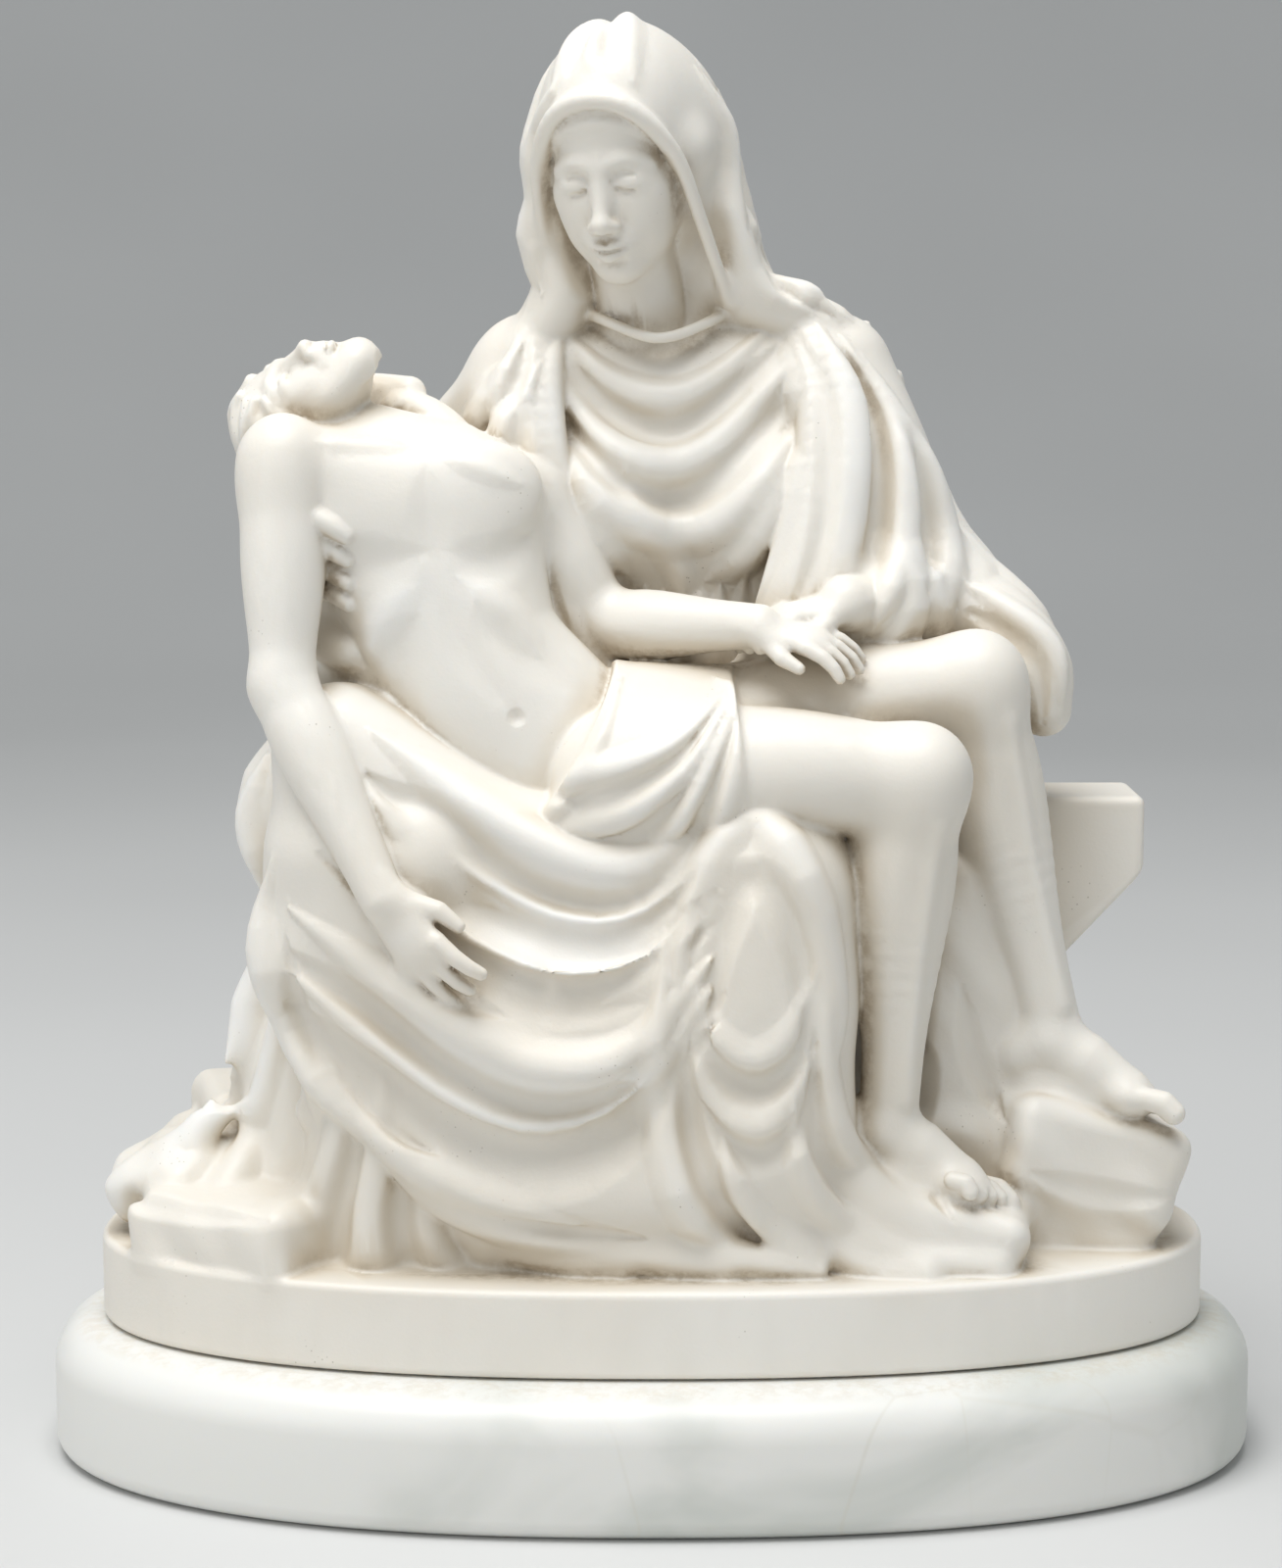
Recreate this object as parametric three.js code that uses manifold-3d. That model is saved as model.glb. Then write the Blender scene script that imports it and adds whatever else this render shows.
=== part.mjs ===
// A pieta statuette: a seated mother in gown, mantle and veil holds her dead son across her lap.
// The group and its oval base are one casting, which rests on a separate oval stone plinth.
// Millimetres, +Z up, +X to the viewer's right, the front faces -Y, origin under the plinth's middle.
import * as THREE from 'three';
import { edgeTable, triTable } from 'three/addons/objects/MarchingCubes.js';
import { mergeVertices } from 'three/addons/utils/BufferGeometryUtils.js';
import Module from 'manifold-3d';

// Driving sizes, in millimetres
const FIGURE_HEIGHT = 198; // top of the veil above the base's top face
const BASE_HEIGHT = 14;
const BASE_MARGIN = 2; // ground left free round the carved group
const BASE_EDGE_RADIUS = 1.2;
const BASE_FOOT_RADIUS = 0.4;
const PLINTH_HEIGHT = 22;
const PLINTH_END_LEDGE = 8; // how far the plinth stands out past the base at its ends
const PLINTH_FRONT_LEDGE = 11; // and at its front and back
const PLINTH_TOP_RADIUS = 7;
const PLINTH_FOOT_RADIUS = 3.5;
const REST_GAP = 0.3; // between the plinth and the casting that rests on it
const CARVING_STEP = 2.2; // spacing of the grid on which the carving is sampled
const CARVING_FACETS = 8000; // triangles left in the carved group

// Outlines: both ovals are superellipses, a little fuller than an ellipse
const OVAL_POWER = 2.3;
const OVAL_POINTS = 56;
const ROUND_STEPS = 3;

// The carving is drawn in units, each a small share of the figure's height. The group's half length
// and half depth are shares of that height too.
const UNIT_SHARE = 1 / 200;
const LENGTH_SHARE = 90 * UNIT_SHARE;
const DEPTH_SHARE = 42 * UNIT_SHARE;
const unit = FIGURE_HEIGHT * UNIT_SHARE;

const baseHalfLength = FIGURE_HEIGHT * LENGTH_SHARE + BASE_MARGIN;
const baseHalfDepth = FIGURE_HEIGHT * DEPTH_SHARE + BASE_MARGIN;
const plinthHalfLength = baseHalfLength + PLINTH_END_LEDGE;
const plinthHalfDepth = baseHalfDepth + PLINTH_FRONT_LEDGE;
const baseUnderside = PLINTH_HEIGHT + REST_GAP;
const groundLevel = baseUnderside + BASE_HEIGHT;

// Vectors are plain [x, y, z] arrays
const add = (a, b) => [a[0] + b[0], a[1] + b[1], a[2] + b[2]];
const sub = (a, b) => [a[0] - b[0], a[1] - b[1], a[2] - b[2]];
const times = (a, s) => [a[0] * s, a[1] * s, a[2] * s];
const dot = (a, b) => a[0] * b[0] + a[1] * b[1] + a[2] * b[2];
const cross = (a, b) => [
  a[1] * b[2] - a[2] * b[1],
  a[2] * b[0] - a[0] * b[2],
  a[0] * b[1] - a[1] * b[0],
];
const normal = (a) => times(a, 1 / Math.hypot(...a));
const mix = (a, b, t) => add(times(a, 1 - t), times(b, t));
const clamp = (x, low, high) => Math.min(high, Math.max(low, x));

// How finely the carving's lines are followed, and how they are laid on the surface, in units
const FOLD_STEPS = 12;
const HEM_STEPS = 96;
const RING_STEPS = 12;
const LAYING_START = 90; // how far off a line starts
const LAYING_GAP = 0.2; // how near to the surface it comes
const LAYING_PACE = 0.8; // the share of the way to the surface that one step goes
const LEAST_SQUARE = 1e-9; // keeps a span of no length from dividing by nothing
const DEEP = 60; // beyond the group on every side

// Clay: shapes are signed distances, joined and cut one after another with soft seams
const REACH = 6; // units past its box at which a shape is no longer felt

const softMin = (a, b, k) => {
  const h = Math.max(k - Math.abs(a - b), 0) / k;
  return Math.min(a, b) - (h * h * k) / 4;
};

const feels = (s, x, y, z) =>
  x > s.low[0] && x < s.high[0] && y > s.low[1] && y < s.high[1] && z > s.low[2] && z < s.high[2];

// A lump of clay: its steps are shapes joined, cut away, or raised as ridges on its surface.
// A shape is its box and its distance function.
class Clay {
  constructor() {
    this.steps = [];
    this.low = [Infinity, Infinity, Infinity];
    this.high = [-Infinity, -Infinity, -Infinity];
  }

  add(kind, s, amount, reach) {
    const low = s.low.map((v) => v - reach);
    const high = s.high.map((v) => v + reach);
    this.steps.push({ kind, shape: s, amount, low, high });
  }

  join(s, blend = 2) {
    this.add('join', s, blend, Math.max(REACH, blend));
    this.low = this.low.map((v, i) => Math.min(v, s.low[i]));
    this.high = this.high.map((v, i) => Math.max(v, s.high[i]));
  }

  cut(s, blend = 2) {
    this.add('cut', s, blend, Math.max(REACH, blend));
  }

  // Swells the surface along a ridge, or hollows it where the steepness is negative
  swell(s, steepness) {
    this.add('swell', s, steepness, 0);
  }

  distance(x, y, z) {
    let d = REACH;
    for (const step of this.steps) {
      if (!feels(step, x, y, z)) continue;
      const e = step.shape.distance(x, y, z);
      if (step.kind === 'join') d = softMin(d, e, step.amount);
      else if (step.kind === 'cut') d = -softMin(-d, e, step.amount);
      else d -= step.amount * e;
    }
    return d;
  }
}

// A point in a shape's own axes, measured from its centre
function turned(x, y, z, centre, axes) {
  const p = [x - centre[0], y - centre[1], z - centre[2]];
  return axes ? [dot(p, axes[0]), dot(p, axes[1]), dot(p, axes[2])] : p;
}

// An ellipsoid with its own axes
function egg(centre, radii, axes = null) {
  const [rx, ry, rz] = radii;
  const most = Math.max(rx, ry, rz);
  const distance = (x, y, z) => {
    const p = turned(x, y, z, centre, axes);
    const k0 = Math.hypot(p[0] / rx, p[1] / ry, p[2] / rz);
    const k1 = Math.hypot(p[0] / (rx * rx), p[1] / (ry * ry), p[2] / (rz * rz));
    return k1 > 0 ? (k0 * (k0 - 1)) / k1 : -Math.min(rx, ry, rz);
  };
  const span = axes ? [most, most, most] : radii;
  return { low: sub(centre, span), high: add(centre, span), distance };
}

// A block with rounded edges
function block(centre, half, rounding, axes = null) {
  const most = Math.hypot(...half);
  const distance = (x, y, z) => {
    const q = turned(x, y, z, centre, axes).map((v, i) => Math.abs(v) - half[i] + rounding);
    const outside = Math.hypot(Math.max(q[0], 0), Math.max(q[1], 0), Math.max(q[2], 0));
    return outside + Math.min(Math.max(...q), 0) - rounding;
  };
  const span = axes ? [most, most, most] : half;
  return { low: sub(centre, span), high: add(centre, span), distance };
}

const curveOf = (points) =>
  new THREE.CatmullRomCurve3(points.map((p) => new THREE.Vector3(...p)), false, 'catmullrom', 0.5);

// A smooth curve through the points, as a list of points
const through = (points, steps = 10) => curveOf(points).getPoints(steps).map((p) => p.toArray());

// The point at a share of the way along a smooth line
const along = (points, share) => curveOf(points).getPoint(share).toArray();

// The spans of a line of points, whose radius runs smoothly through the radii from end to end
function spansOf(points, radii) {
  const count = points.length - 1;
  const steps = radii.map((r) => [r, 0, 0]);
  const radiusAt = (i) => (radii.length === 1 ? radii[0] : along(steps, i / count)[0]);
  const spans = [];
  for (let i = 0; i < count; i++) {
    const d = sub(points[i + 1], points[i]);
    const dd = Math.max(dot(d, d), LEAST_SQUARE);
    spans.push({ a: points[i], d, dd, r: radiusAt(i), dr: radiusAt(i + 1) - radiusAt(i) });
  }
  return spans;
}

function boxOf(points, margin) {
  const low = [0, 1, 2].map((i) => Math.min(...points.map((p) => p[i])) - margin);
  const high = [0, 1, 2].map((i) => Math.max(...points.map((p) => p[i])) + margin);
  return { low, high };
}

// A tapering roll along a line of points. A squashed one is flattened across its face direction.
function roll(points, radii, face = null, flatness = 1) {
  const spans = spansOf(points, radii);
  const squash = face ? 1 / (flatness * flatness) - 1 : 0;
  const distance = (x, y, z) => {
    let least = Infinity;
    for (const { a, d, dd, r, dr } of spans) {
      const px = x - a[0];
      const py = y - a[1];
      const pz = z - a[2];
      const t = clamp((px * d[0] + py * d[1] + pz * d[2]) / dd, 0, 1);
      const qx = px - d[0] * t;
      const qy = py - d[1] * t;
      const qz = pz - d[2] * t;
      let square = qx * qx + qy * qy + qz * qz;
      if (squash) square += squash * (qx * face[0] + qy * face[1] + qz * face[2]) ** 2;
      const e = Math.sqrt(square) - r - dr * t;
      if (e < least) least = e;
    }
    return least;
  };
  return { ...boxOf(points, Math.max(...radii)), distance };
}

const curl = (points, radii, face, flatness) => roll(through(points), radii, face, flatness);

// A ridge along a line: its height over the surface, fading to nothing at its radius.
// A soft one of 1 has a round back and one of 0 a sharp crest.
function ridge(points, radii, soft = 0.6) {
  const spans = spansOf(points, radii);
  const distance = (x, y, z) => {
    let most = 0;
    for (const { a, d, dd, r, dr } of spans) {
      const px = x - a[0];
      const py = y - a[1];
      const pz = z - a[2];
      const t = clamp((px * d[0] + py * d[1] + pz * d[2]) / dd, 0, 1);
      const radius = r + dr * t;
      const u = Math.hypot(px - d[0] * t, py - d[1] * t, pz - d[2] * t) / radius;
      if (u < 1) most = Math.max(most, radius * (1 - u) ** 2 * (1 + 2 * soft * u));
    }
    return most;
  };
  return { ...boxOf(points, Math.max(...radii)), distance };
}

// Clay with a hewn surface: uneven by about a rise, over about a length
function rugged(clay, rise, length) {
  const distance = (x, y, z) => {
    const [u, v, w] = times([x, y, z], (2 * Math.PI) / length);
    const broad = Math.sin(u + 1.3 * Math.sin(0.7 * v)) * Math.sin(1.1 * v + 0.8 * Math.sin(0.9 * w));
    const waves = broad * Math.sin(1.2 * w + 0.5 * u) + 0.5 * Math.sin(2.3 * u + 1.7 * w);
    return clay.distance(x, y, z) - rise * waves;
  };
  return { low: clay.low, high: clay.high, distance };
}

// Moves the points of a line along a direction until they touch the clay. A point that would miss
// it stays with its nearest neighbour that doesn't, and a line that misses it has no points left.
function laidOn(clay, points, towards) {
  const laid = points.map((p) => {
    let q = sub(p, times(towards, LAYING_START));
    let travelled = 0;
    while (travelled < 2 * LAYING_START) {
      const d = clay.distance(...q);
      if (d < LAYING_GAP) return q;
      const step = Math.max(2 * LAYING_GAP, LAYING_PACE * d);
      q = add(q, times(towards, step));
      travelled += step;
    }
    return null;
  });
  const hits = laid.flatMap((q, i) => (q ? [i] : []));
  if (!hits.length) return [];
  const nearestHit = (i) => hits.reduce((a, b) => (Math.abs(b - i) < Math.abs(a - i) ? b : a));
  return laid.map((q, i) => q ?? laid[nearestHit(i)]);
}

// The ways in which a fold can be drawn: as [x, z] in the front or back view, as [y, z] in a side view
const FRONT = { place: ([x, z]) => [x, 0, z], towards: [0, 1, 0] };
const BACK = { place: ([x, z]) => [x, 0, z], towards: [0, -1, 0] };
const LEFT = { place: ([y, z]) => [0, y, z], towards: [1, 0, 0] };
const RIGHT = { place: ([y, z]) => [0, y, z], towards: [-1, 0, 0] };

const THIN_ENDS = [0.12, 1, 1, 0.12];
const OPEN_END = [0.12, 0.8, 1, 1.1]; // thin at the top, wide at the hem

// Draws folds on the clay: each is [steepness, width, its line in the view, how the width runs]
function folds(clay, view, table, soft = 0.6) {
  const lines = table.map((row) => laidOn(clay, through(row[2].map(view.place), FOLD_STEPS), view.towards));
  table.forEach(([steepness, width, , taper = THIN_ENDS], i) => {
    if (lines[i].length) clay.swell(ridge(lines[i], taper.map((share) => share * width), soft), steepness);
  });
}

const flat = ([a, b]) => [a, b, 0];

// A family of folds between two lines of the view. Sines make each one its own: its place along
// both lines, its bow, its width, and for every third fold an early end.
function pleats(clay, view, from, to, { count, width, steepness = 0.7, bow = [0, 0], taper, seed = 0 }) {
  const table = [];
  for (let i = 0; i < count; i++) {
    const wobble = (speed) => Math.sin(speed * i + seed);
    const share = clamp((i + 0.22 * wobble(3.7)) / (count - 1), 0, 1);
    const start = along(from.map(flat), share);
    const end = mix(start, along(to.map(flat), share), wobble(2.1) > 0.55 ? 0.7 : 1);
    const middle = add(mix(start, end, 0.5), times(flat(bow), 1 + 0.4 * wobble(2.4)));
    table.push([steepness, width * (1 + 0.25 * wobble(1.9)), [start, middle, end], taper]);
  }
  folds(clay, view, table);
}

// All that lies under a line of the front view, which is made wavy
function below(line, { waves, rise }) {
  const points = through(line.map(flat), HEM_STEPS).map(([x, z], i) => {
    const phase = (i / HEM_STEPS) * waves * 2 * Math.PI;
    return [x, z + rise * Math.sin(phase) * (1 + 0.5 * Math.sin(0.37 * phase))];
  });
  const heightAt = (x) => {
    const next = points.findIndex((p, i) => i > 0 && (x < p[0] || i === HEM_STEPS));
    const [a, b] = [points[next - 1], points[next]];
    const slope = (b[1] - a[1]) / (b[0] - a[0]);
    return { z: a[1] + slope * (clamp(x, a[0], b[0]) - a[0]), lean: 1 / Math.hypot(1, slope) };
  };
  const distance = (x, y, z) => {
    const hem = heightAt(x);
    return (z - hem.z) * hem.lean;
  };
  const heights = points.map((p) => p[1]);
  const [left, right] = [points[0][0], points[HEM_STEPS][0]];
  return { low: [left, -DEEP, -DEEP], high: [right, DEEP, Math.max(...heights)], distance };
}

// Hanging folds between two lines of the view, each with a furrow under it and deepest at some
// share of its way. The sag runs from the first fold to the last, and sines make each its own.
function swags(clay, view, from, to, { sag, count, width, steepness = 0.95, deepest = 0.5, seed = 0 }) {
  const crests = [];
  const furrows = [];
  const skew = Math.log(0.5) / Math.log(deepest);
  for (let i = 0; i < count; i++) {
    const own = Math.sin(2.1 * i + seed);
    const share = clamp((i + 0.2 * own) / (count - 1), 0, 1);
    const start = along(from.map(flat), share);
    const end = along(to.map(flat), share);
    const drop = sag[0] + (sag[1] - sag[0]) * share;
    const line = [0, 0.2, 0.4, 0.6, 0.8, 1].map((t) => {
      const hang = 4 * t ** skew * (1 - t ** skew);
      return sub(mix(start, end, t), [0, drop * hang * (1 + 0.15 * own * (t - 0.4)), 0]);
    });
    const size = width * (1 + 0.3 * own);
    crests.push([steepness, 0.8 * size, line]);
    furrows.push([-0.5 * steepness, 1.1 * size, line.map((p) => sub(p, [0, 0.9 * size, 0]))]);
  }
  folds(clay, view, crests, 0.15);
  folds(clay, view, furrows, 1);
}

// A body part's own axes: side is to the viewer's right when front faces the viewer
function facing(centre, up, front) {
  const u = normal(up);
  const f = normal(sub(front, times(u, dot(front, u))));
  const side = times(cross(u, f), -1);
  return {
    axes: [side, u, f],
    at: (a, b, c) => add(centre, add(times(side, a), add(times(u, b), times(f, c)))),
  };
}

// Rings of cloth pushed together round a limb, between two points of it
function rings(clay, from, to, radii, { count, width, steepness = 0.8, lean = 0.5 }) {
  const limb = sub(to, from);
  const f = facing(from, limb, [0, -1, 0.3]);
  for (let i = 0; i < count; i++) {
    const share = i / (count - 1);
    const radius = radii[0] + (radii[1] - radii[0]) * share;
    const points = [];
    for (let k = 0; k <= RING_STEPS; k++) {
      const a = (k / RING_STEPS) * 2 * Math.PI;
      const rise = 0.5 * lean * radius * Math.cos(a + 1.3 * i);
      const round = f.at(radius * Math.cos(a), rise, radius * Math.sin(a));
      points.push(add(round, times(limb, share)));
    }
    clay.swell(ridge(points, [width * (1 + 0.3 * Math.sin(2.3 * i))]), steepness);
  }
}

// The head, in shares of its height: crown at +0.5, chin at -0.5, eyes halfway
function head(centre, up, front, height) {
  const f = facing(centre, up, front);
  const at = (a, b, c) => f.at(a * height, b * height, c * height);
  const sized = (radii) => radii.map((r) => r * height);
  const ball = (a, b, c, ...radii) => egg(at(a, b, c), sized(radii), f.axes);
  const line = (radius, ...points) =>
    ridge(through(points.map((p) => at(...p)), 8), sized([radius, 1.2 * radius, radius]));
  const cord = (radii, ...points) => curl(points.map((p) => at(...p)), sized(radii));
  const clay = new Clay();
  clay.join(ball(0, 0.13, -0.06, 0.335, 0.37, 0.42));
  clay.join(ball(0, -0.13, 0.13, 0.268, 0.33, 0.235), 0.12 * height);
  clay.join(cord([0.07, 0.075, 0.07], [-0.2, -0.22, 0.02], [0, -0.41, 0.24], [0.2, -0.22, 0.02]),
    0.12 * height);
  clay.join(ball(0, -0.43, 0.27, 0.085, 0.065, 0.075), 0.1 * height);
  for (const s of [-1, 1]) {
    clay.join(ball(s * 0.17, -0.07, 0.2, 0.1, 0.09, 0.1), 0.1 * height);
    clay.join(ball(s * 0.12, -0.2, 0.22, 0.1, 0.12, 0.1), 0.1 * height);
    clay.cut(ball(s * 0.125, 0.015, 0.435, 0.1, 0.05, 0.085), 0.09 * height);
    clay.join(ball(s * 0.125, 0, 0.29, 0.082, 0.06, 0.065), 0.025 * height);
    clay.swell(line(0.06, [s * 0.04, 0.085, 0.36], [s * 0.13, 0.115, 0.35], [s * 0.24, 0.07, 0.26]), 0.25);
    clay.swell(line(0.022, [s * 0.06, -0.012, 0.345], [s * 0.125, -0.042, 0.35], [s * 0.2, -0.01, 0.295]),
      -0.6);
  }
  const bridge = [at(0, 0.08, 0.35), at(0, -0.05, 0.41), at(0, -0.165, 0.465)];
  clay.join(roll(bridge, sized([0.026, 0.03, 0.036])), 0.06 * height);
  clay.join(ball(0, -0.185, 0.47, 0.036, 0.032, 0.036), 0.03 * height);
  for (const s of [-1, 1]) clay.join(ball(s * 0.043, -0.197, 0.42, 0.027, 0.027, 0.038), 0.025 * height);
  clay.join(ball(0, -0.29, 0.32, 0.115, 0.085, 0.08), 0.07 * height);
  clay.join(cord([0.006, 0.019, 0.016, 0.019, 0.006], [-0.09, -0.303, 0.36], [-0.042, -0.284, 0.402],
    [0, -0.291, 0.41], [0.042, -0.284, 0.402], [0.09, -0.303, 0.36]), 0.02 * height);
  clay.join(cord([0.006, 0.026, 0.006], [-0.078, -0.316, 0.358], [0, -0.338, 0.4], [0.078, -0.316, 0.358]),
    0.02 * height);
  clay.swell(line(0.04, [-0.05, -0.378, 0.36], [0, -0.384, 0.38], [0.05, -0.378, 0.36]), -0.35);
  return { face: clay, f, at };
}

// A hand from the wrist: fingers run along, the palm faces palm, the thumb lies to thumb * side
function hand(wrist, pointing, palm, size, { bend = 0.35, thumb = 1, spread = 0.1 } = {}) {
  const f = facing(wrist, pointing, palm);
  const at = (a, b, c) => f.at(a * size, b * size, c * size);
  const sized = (radii) => radii.map((r) => r * size);
  const clay = new Clay();
  clay.join(roll([at(0, -0.05, 0), at(0, 0.2, 0), at(0, 0.42, 0)], sized([0.14, 0.2, 0.22]), f.axes[2], 0.5));
  for (let i = 0; i < 4; i++) {
    const across = (1.5 - i) * thumb;
    const reach = 1 - 0.1 * Math.abs(across + 0.5 * thumb);
    const joints = [[across * 0.125, 0.48, -0.01]];
    let angle = bend * 0.6;
    for (const length of [0.2, 0.15, 0.12]) {
      const [a, b, c] = joints[joints.length - 1];
      joints.push([
        a + across * spread * length,
        b + Math.cos(angle) * length * reach,
        c + Math.sin(angle) * length * reach,
      ]);
      angle += bend;
    }
    clay.join(roll(joints.map((p) => at(...p)), sized([0.066, 0.062, 0.056, 0.048])), 0.05 * size);
  }
  clay.join(roll([at(0.1 * thumb, 0.08, 0.04), at(0.27 * thumb, 0.3, 0.1), at(0.31 * thumb, 0.47, 0.13)],
    sized([0.085, 0.07, 0.052])), 0.08 * size);
  return clay;
}

// A bare foot from the ankle: toes point along, the sole faces sole, the big toe lies to the side
function foot(ankle, pointing, sole, size) {
  const f = facing(ankle, pointing, sole);
  const at = (a, b, c) => f.at(a * size, b * size, c * size);
  const sized = (radii) => radii.map((r) => r * size);
  const ball = (a, b, c, ...radii) => egg(at(a, b, c), sized(radii), f.axes);
  const clay = new Clay();
  clay.join(ball(0, -0.18, 0.15, 0.12, 0.13, 0.14));
  clay.join(roll([at(0, -0.06, 0.02), at(0.02, 0.2, 0.08), at(0.03, 0.44, 0.16)], sized([0.16, 0.165, 0.13])),
    0.14 * size);
  clay.join(ball(0.01, 0.5, 0.19, 0.2, 0.16, 0.105), 0.1 * size);
  for (const s of [-1, 1]) clay.join(ball(s * 0.11, -0.02, 0.03, 0.06, 0.06, 0.06), 0.06 * size);
  for (let i = 0; i < 5; i++) {
    const across = 0.15 - 0.083 * i;
    const start = 0.58 - 0.035 * i;
    const radius = i === 0 ? 0.084 : 0.06;
    const toe = [at(across, start, 0.19), at(across, start + 0.14 - 0.016 * i, 0.18),
      at(across, start + 0.2 - 0.024 * i, 0.23)];
    clay.join(roll(toe, sized([0.85 * radius, radius, 0.9 * radius])), 0.025 * size);
  }
  return clay;
}

// The rocky ground and the hewn stone seat
function ground() {
  const rocks = new Clay();
  rocks.join(egg([0, 0, -4], [84, 36, 9]));
  const stones = [
    // Each rock: its middle, half sizes, turn about the upright, and lean
    [[-66, -3, 2], [17, 17, 7], 0.12, 0.02],
    [[-68, -21, 3], [16, 9, 7], -0.55, 0.03],
    [[-71, 2, 10], [13, 12, 6], -0.1, 0.03],
    [[-63, 13, 14], [14, 12, 9], 0.3, 0.1],
    [[70, -3, 5], [14, 16, 8], -0.1, -0.05],
    [[71, -6, 15], [15, 15, 8], 0.1, -0.27],
    [[46, -24, 4.5], [14, 9, 7], -0.1, -0.25],
    [[76, 10, 4], [9, 10, 7], 0.5, 0.1],
    [[51, -3, 30], [10, 11, 34], 0.15, -0.08],
    [[44, -6, 10], [14, 12, 12], 0.3, -0.15],
  ];
  for (const [centre, half, turn, lean] of stones) {
    const c = Math.cos(turn);
    const s = Math.sin(turn);
    const axes = [normal([c, s, lean]), [-s, c, 0], normal([-lean * c, -lean * s, 1])];
    rocks.join(block(centre, half, 3.5, axes), 4);
  }
  folds(rocks, FRONT, [
    // Clefts
    [-0.7, 3.5, [[38, 40], [44, 30], [42, 18], [48, 8]]],
    [-0.6, 3, [[50, 44], [53, 30], [58, 20]]],
    [-0.6, 3, [[60, 14], [72, 10], [86, 9]]],
    [-0.5, 2.5, [[-90, 9], [-78, 8.5], [-60, 9]]],
  ]);
  const clay = new Clay();
  clay.join(rugged(rocks, 0.4, 24));
  clay.join(block([6, 16, 28], [56, 15, 30], 4), 4);
  // The slab of the seat is hewn back under its end
  clay.join(block([46, 14, 57.5], [36.5, 10, 14], 1.5), 1.5);
  clay.cut(block([82.3, 12, 44], [22, 24, 10], 0.5, [[0.68, 0, 0.73], [0, 1, 0], [-0.73, 0, 0.68]]), 1);
  return clay;
}

// Where the mother's joints are; her right is the viewer's left
const mother = {
  neck: [-1, 11, 147],
  head: [-5, 0, 175],
  rightShoulder: [-17.5, 14, 140.5],
  rightElbow: [-40, 24, 116],
  rightWrist: [-53.5, 6, 111],
  leftShoulder: [27.5, 15, 140],
  leftElbow: [46, 10, 104],
  leftWrist: [31, -12, 105],
  rightKnee: [-38, -20, 64],
  leftKnee: [17, -24, 56],
};

// The gown: a soft neckline over the chest, and gathers at the waist
function gown() {
  const clay = new Clay();
  clay.join(egg([4, 14, 62], [31, 17, 24]));
  clay.join(egg([4, 14, 92], [22, 15, 34]), 8);
  clay.join(egg([5, 12, 124], [26, 14, 25]), 8);
  clay.join(roll([mother.rightShoulder, mother.leftShoulder], [10, 11]), 8);
  clay.join(egg([-7, 2, 121], [10, 8, 10]), 6);
  clay.join(egg([16, 3, 121], [10, 8, 10]), 6);
  clay.join(curl([[-13, 10, 153], [-7, 2, 150], [1, -1.5, 147.5], [9, 2, 150], [15, 10, 154]], [1.1]), 1.5);
  folds(clay, FRONT, [
    [0.6, 4.5, [[-12, 148], [-6, 138], [2, 134], [9, 138], [15, 148]]],
    [0.7, 4.5, [[-14, 142], [-8, 130], [3, 125], [12, 131], [18, 143]]],
    [0.6, 5, [[-13, 134], [-7, 121], [5, 116], [13, 121], [20, 135]]],
    [-0.5, 4, [[-13, 138], [-7, 126], [3, 120], [12, 126], [19, 139]]],
    [0.6, 4.5, [[-14, 128], [-10, 116], [-4, 109]]],
    [0.6, 4.5, [[22, 128], [17, 114], [9, 108]]],
    [0.5, 3.5, [[-5, 128], [-2, 120], [4, 110], [5, 98]]],
  ]);
  pleats(clay, FRONT, [[-12, 112], [5, 106], [20, 112]], [[-7, 86], [5, 84], [15, 87]],
    { count: 8, width: 3.6, steepness: 0.75 });
  return clay;
}

// The skirt over both knees and down to the ground
function skirt() {
  const clay = new Clay();
  clay.join(roll([[-12, 14, 56], mother.rightKnee], [19, 13]));
  clay.join(roll([[18, 14, 54], mother.leftKnee], [19, 13]), 6);
  clay.join(roll([mother.rightKnee, [-42, -15, 4]], [13, 16]), 6);
  clay.join(roll([mother.leftKnee, [17, -16, 3]], [13, 16]), 6);
  clay.join(egg([-12, -10, 20], [34, 23, 42]), 8);
  folds(clay, FRONT, [
    // Folds that come out under the hem of the mantle and break on the ground
    [0.9, 4.5, [[-55, 44], [-55, 28], [-59, 14], [-66, 4]], OPEN_END],
    [0.9, 4.5, [[-50, 40], [-50, 24], [-53, 12], [-56, 2]], OPEN_END],
    [0.9, 5, [[-42, 40], [-43, 22], [-45, 10], [-45, 0]], OPEN_END],
    [0.8, 4, [[-35, 34], [-35, 20], [-36, 8], [-33, -1]], OPEN_END],
    [0.9, 5, [[-26, 32], [-27, 18], [-27, 8], [-24, -1]], OPEN_END],
    [-0.8, 4, [[-46, 38], [-47, 22], [-49.5, 10], [-51, 1]], OPEN_END],
    [-0.8, 4, [[-38, 34], [-39, 20], [-40.5, 9], [-39, 0]], OPEN_END],
  ], 0.4);
  return clay;
}

// Her neck and face, with the band of a coif under the veil
function motherHead() {
  const { face, f, at } = head(mother.head, [-0.16, -0.28, 1], [-0.3, -1, -0.36], 33);
  face.join(roll([mother.neck, mix(mother.neck, mother.head, 0.6)], [8, 7.2]), 3);
  const band = [at(-0.27, 0.17, 0.22), at(-0.16, 0.27, 0.31), at(0, 0.3, 0.345), at(0.16, 0.27, 0.31),
    at(0.27, 0.17, 0.22)];
  face.swell(ridge(through(band), [1.3]), 0.6);
  return { face, f, at };
}

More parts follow.
